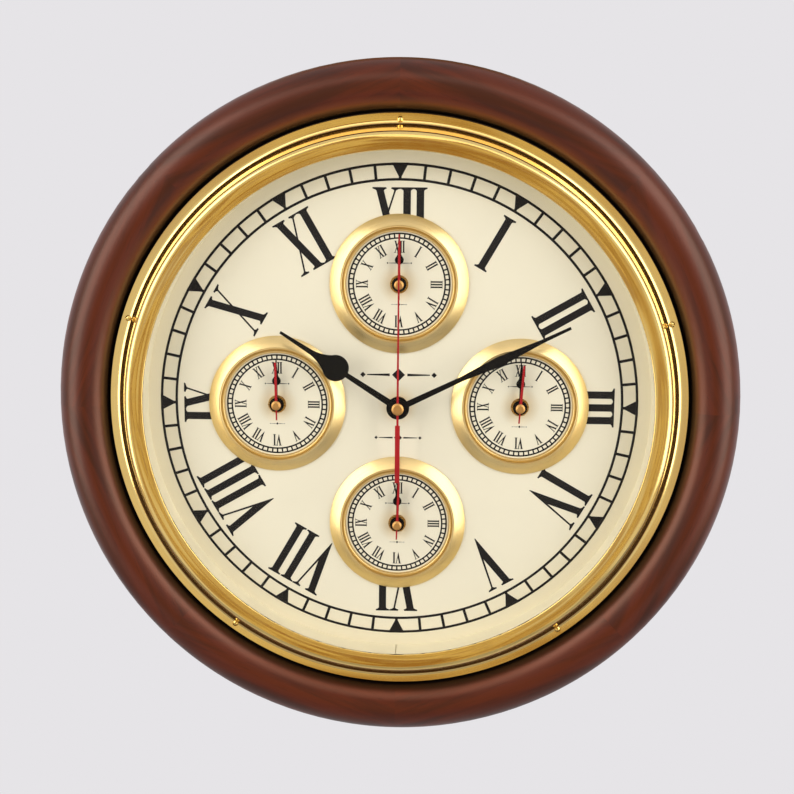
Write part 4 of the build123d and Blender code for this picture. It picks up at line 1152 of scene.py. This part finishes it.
class CLOCK_OT_stage(bpy.types.Operator):
    """Set the floor, the lights, the background and the camera"""
    bl_idname = "clock.stage"
    bl_label = "Stage"

    def execute(self, context):
        scene = context.scene
        settings = scene.clock_stage
        scene.view_settings.view_transform = "Standard"
        self.background(scene, settings)
        self.floor(settings)
        middle = Vector((0, -0.02, AXIS_Z))
        for name, place, size, power in (
                ("left_light", (-1.08, -0.73, AXIS_Z + 0.26), (0.80, 1.70), settings.side_power),
                ("right_light", (1.08, -0.73, AXIS_Z + 0.26), (0.80, 1.70), settings.side_power),
                ("front_light", (0.0, -1.35, AXIS_Z + 1.15), (2.4, 0.7), settings.front_power),
                ("rear_light", (0.0, 1.9, AXIS_Z + 0.3), (3.2, 2.6), settings.rear_power)):
            self.light(name, Vector(place), size, power, middle)
        self.camera(scene, settings)
        return {"FINISHED"}

    def background(self, scene, settings):
        """Pale backdrop for the eye and glass, a warm room in front for metal, soft light on the clock."""
        ceiling_edge, dim_edge, dim_slope = (0.72, 0.84), (0.10, 0.30), 1.2
        flank_from, flank_to, flank_rest = (0.10, 0.30), (0.80, 0.55), 0.2
        ground_edge, rear_edge, blotch_edge = (-0.40, -0.62), (-0.3, 0.1), (0.52, 0.56)
        world = bpy.data.worlds.new("studio")
        scene.world = world
        world.use_nodes = True
        sky = Nodes(world.node_tree, "ShaderNodeOutputWorld")
        path = sky.add("ShaderNodeLightPath").outputs
        looked = sky.math("MAXIMUM", path["Is Camera Ray"], path["Is Transmission Ray"])
        way = sky.add("ShaderNodeTexCoord").outputs["Generated"]
        x, y, z = sky.parts(way)
        aside = sky.math("ABSOLUTE", x)
        ceiling = sky.between(z, *ceiling_edge)
        dim = sky.between(sky.math("SUBTRACT", z, sky.math("MULTIPLY", aside, dim_slope)), *dim_edge)
        dim = sky.math("MULTIPLY", dim, sky.math("SUBTRACT", 1.0, ceiling))
        pale = sky.math("MULTIPLY", sky.between(aside, *flank_from),
                        sky.math("MAXIMUM", sky.between(aside, *flank_to), flank_rest))
        for share in (sky.between(z, *ground_edge), sky.between(y, *rear_edge)):
            pale = sky.math("MAXIMUM", pale, share)
        pale = sky.math("MULTIPLY", pale, sky.math("SUBTRACT", 1.0, dim))
        for share in (ceiling, looked):
            pale = sky.math("MAXIMUM", pale, share)
        blotch = sky.between(sky.noise(way, 11.0, 2.0, 0.5), *blotch_edge)
        room = sky.mix(sky.math("MAXIMUM", blotch, dim), settings.room, settings.room_shadow)
        sky.blend(sky.math("MAXIMUM", looked, path["Is Glossy Ray"]),
                  sky.add("ShaderNodeBackground", Color=(1, 0.99, 0.98), Strength=settings.ambient),
                  sky.add("ShaderNodeBackground", Color=sky.mix(pale, room, settings.background)))

    def floor(self, settings):
        """Pale round floor, a wall clock's height below, which fades into the backdrop."""
        drop, fade_from, fade_to = 1.3, 0.9, FLOOR_RADIUS * 0.97
        bm = bmesh.new()
        bmesh.ops.create_circle(bm, cap_ends=True, segments=128, radius=FLOOR_RADIUS)
        bmesh.ops.translate(bm, vec=(0, 0, cad_box[0].z - drop), verts=bm.verts)
        floor = from_bmesh("floor", bm)
        paint = Finish("floor_paint")
        cloud = paint.noise(paint.place, 3.0, 3.0)
        paint.set(Base_Color=paint.stained(settings.background, 0.97, cloud, 0.3, 0.7), Roughness=0.9)
        seen = paint.add("ShaderNodeLightPath").outputs["Is Camera Ray"]
        away = paint.span(paint.moved(scale=(1, 1, 0)))
        paint.blend(paint.math("MULTIPLY", seen, paint.between(away, fade_from, fade_to)), paint.surface,
                    paint.add("ShaderNodeEmission", Color=settings.background))
        floor.data.materials.append(paint.material)

    def light(self, name, place, size, power, target):
        """Rectangular soft light, aimed at a target. The rear one stays out of reflections."""
        lamp = bpy.data.lights.new(name, "AREA")
        lamp.shape = "RECTANGLE"
        lamp.size, lamp.size_y = size
        lamp.energy = power
        holder = bpy.data.objects.new(name, lamp)
        holder.location = place
        holder.rotation_euler = (target - place).to_track_quat("-Z", "Y").to_euler()
        holder.visible_glossy = name != "rear_light"
        bpy.context.scene.collection.objects.link(holder)

    def camera(self, scene, settings):
        """Camera at the photograph's place."""
        yaw, pitch, roll = settings.camera_yaw, settings.camera_pitch, settings.camera_roll
        ahead = Vector((math.sin(yaw) * math.cos(pitch), math.cos(yaw) * math.cos(pitch), -math.sin(pitch)))
        right = Vector((math.cos(yaw), -math.sin(yaw), 0))
        up = right.cross(ahead)
        across = right * math.cos(roll) + up * math.sin(roll)
        upward = up * math.cos(roll) - right * math.sin(roll)
        lens = bpy.data.cameras.new("camera")
        lens.lens, lens.sensor_width = settings.camera_lens, 36.0
        lens.clip_start = 0.01
        camera = bpy.data.objects.new("camera", lens)
        turn = Matrix((across, upward, -ahead)).transposed().to_4x4()
        camera.matrix_world = Matrix.Translation(Vector(settings.camera_place)) @ turn
        scene.collection.objects.link(camera)
        scene.camera = camera


OPERATORS = (CLOCK_OT_wood, CLOCK_OT_brass, CLOCK_OT_bezel_screws, CLOCK_OT_rear_screws, CLOCK_OT_tracks,
             CLOCK_OT_numerals, CLOCK_OT_dials, CLOCK_OT_hands, CLOCK_OT_movements, CLOCK_OT_stage)


class CLOCK_PT_panel(bpy.types.Panel):
    """Lists the clock's operators and settings"""
    bl_idname = "CLOCK_PT_panel"
    bl_label = "World Time Wall Clock"
    bl_space_type = "VIEW_3D"
    bl_region_type = "UI"
    bl_category = "Clock"

    def draw(self, context):
        for operator in OPERATORS:
            self.layout.operator(operator.bl_idname)
        for group in (context.scene.clock_print, context.scene.clock_finish, context.scene.clock_stage):
            box = self.layout.box()
            for name in group.__annotations__:
                box.prop(group, name)


SETTINGS = {"clock_print": ClockPrintSettings, "clock_finish": ClockFinishSettings,
            "clock_stage": ClockStageSettings}


def register():
    for group in (*SETTINGS.values(), *OPERATORS, CLOCK_PT_panel):
        bpy.utils.register_class(group)
    for name, group in SETTINGS.items():
        setattr(bpy.types.Scene, name, PointerProperty(type=group))


def unregister():
    for name in SETTINGS:
        delattr(bpy.types.Scene, name)
    for group in reversed((*SETTINGS.values(), *OPERATORS, CLOCK_PT_panel)):
        bpy.utils.unregister_class(group)


def main():
    """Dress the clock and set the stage."""
    register()
    for operator in OPERATORS:
        group, name = operator.bl_idname.split(".")
        getattr(getattr(bpy.ops, group), name)()
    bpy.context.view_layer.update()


if __name__ == "__main__":
    main()
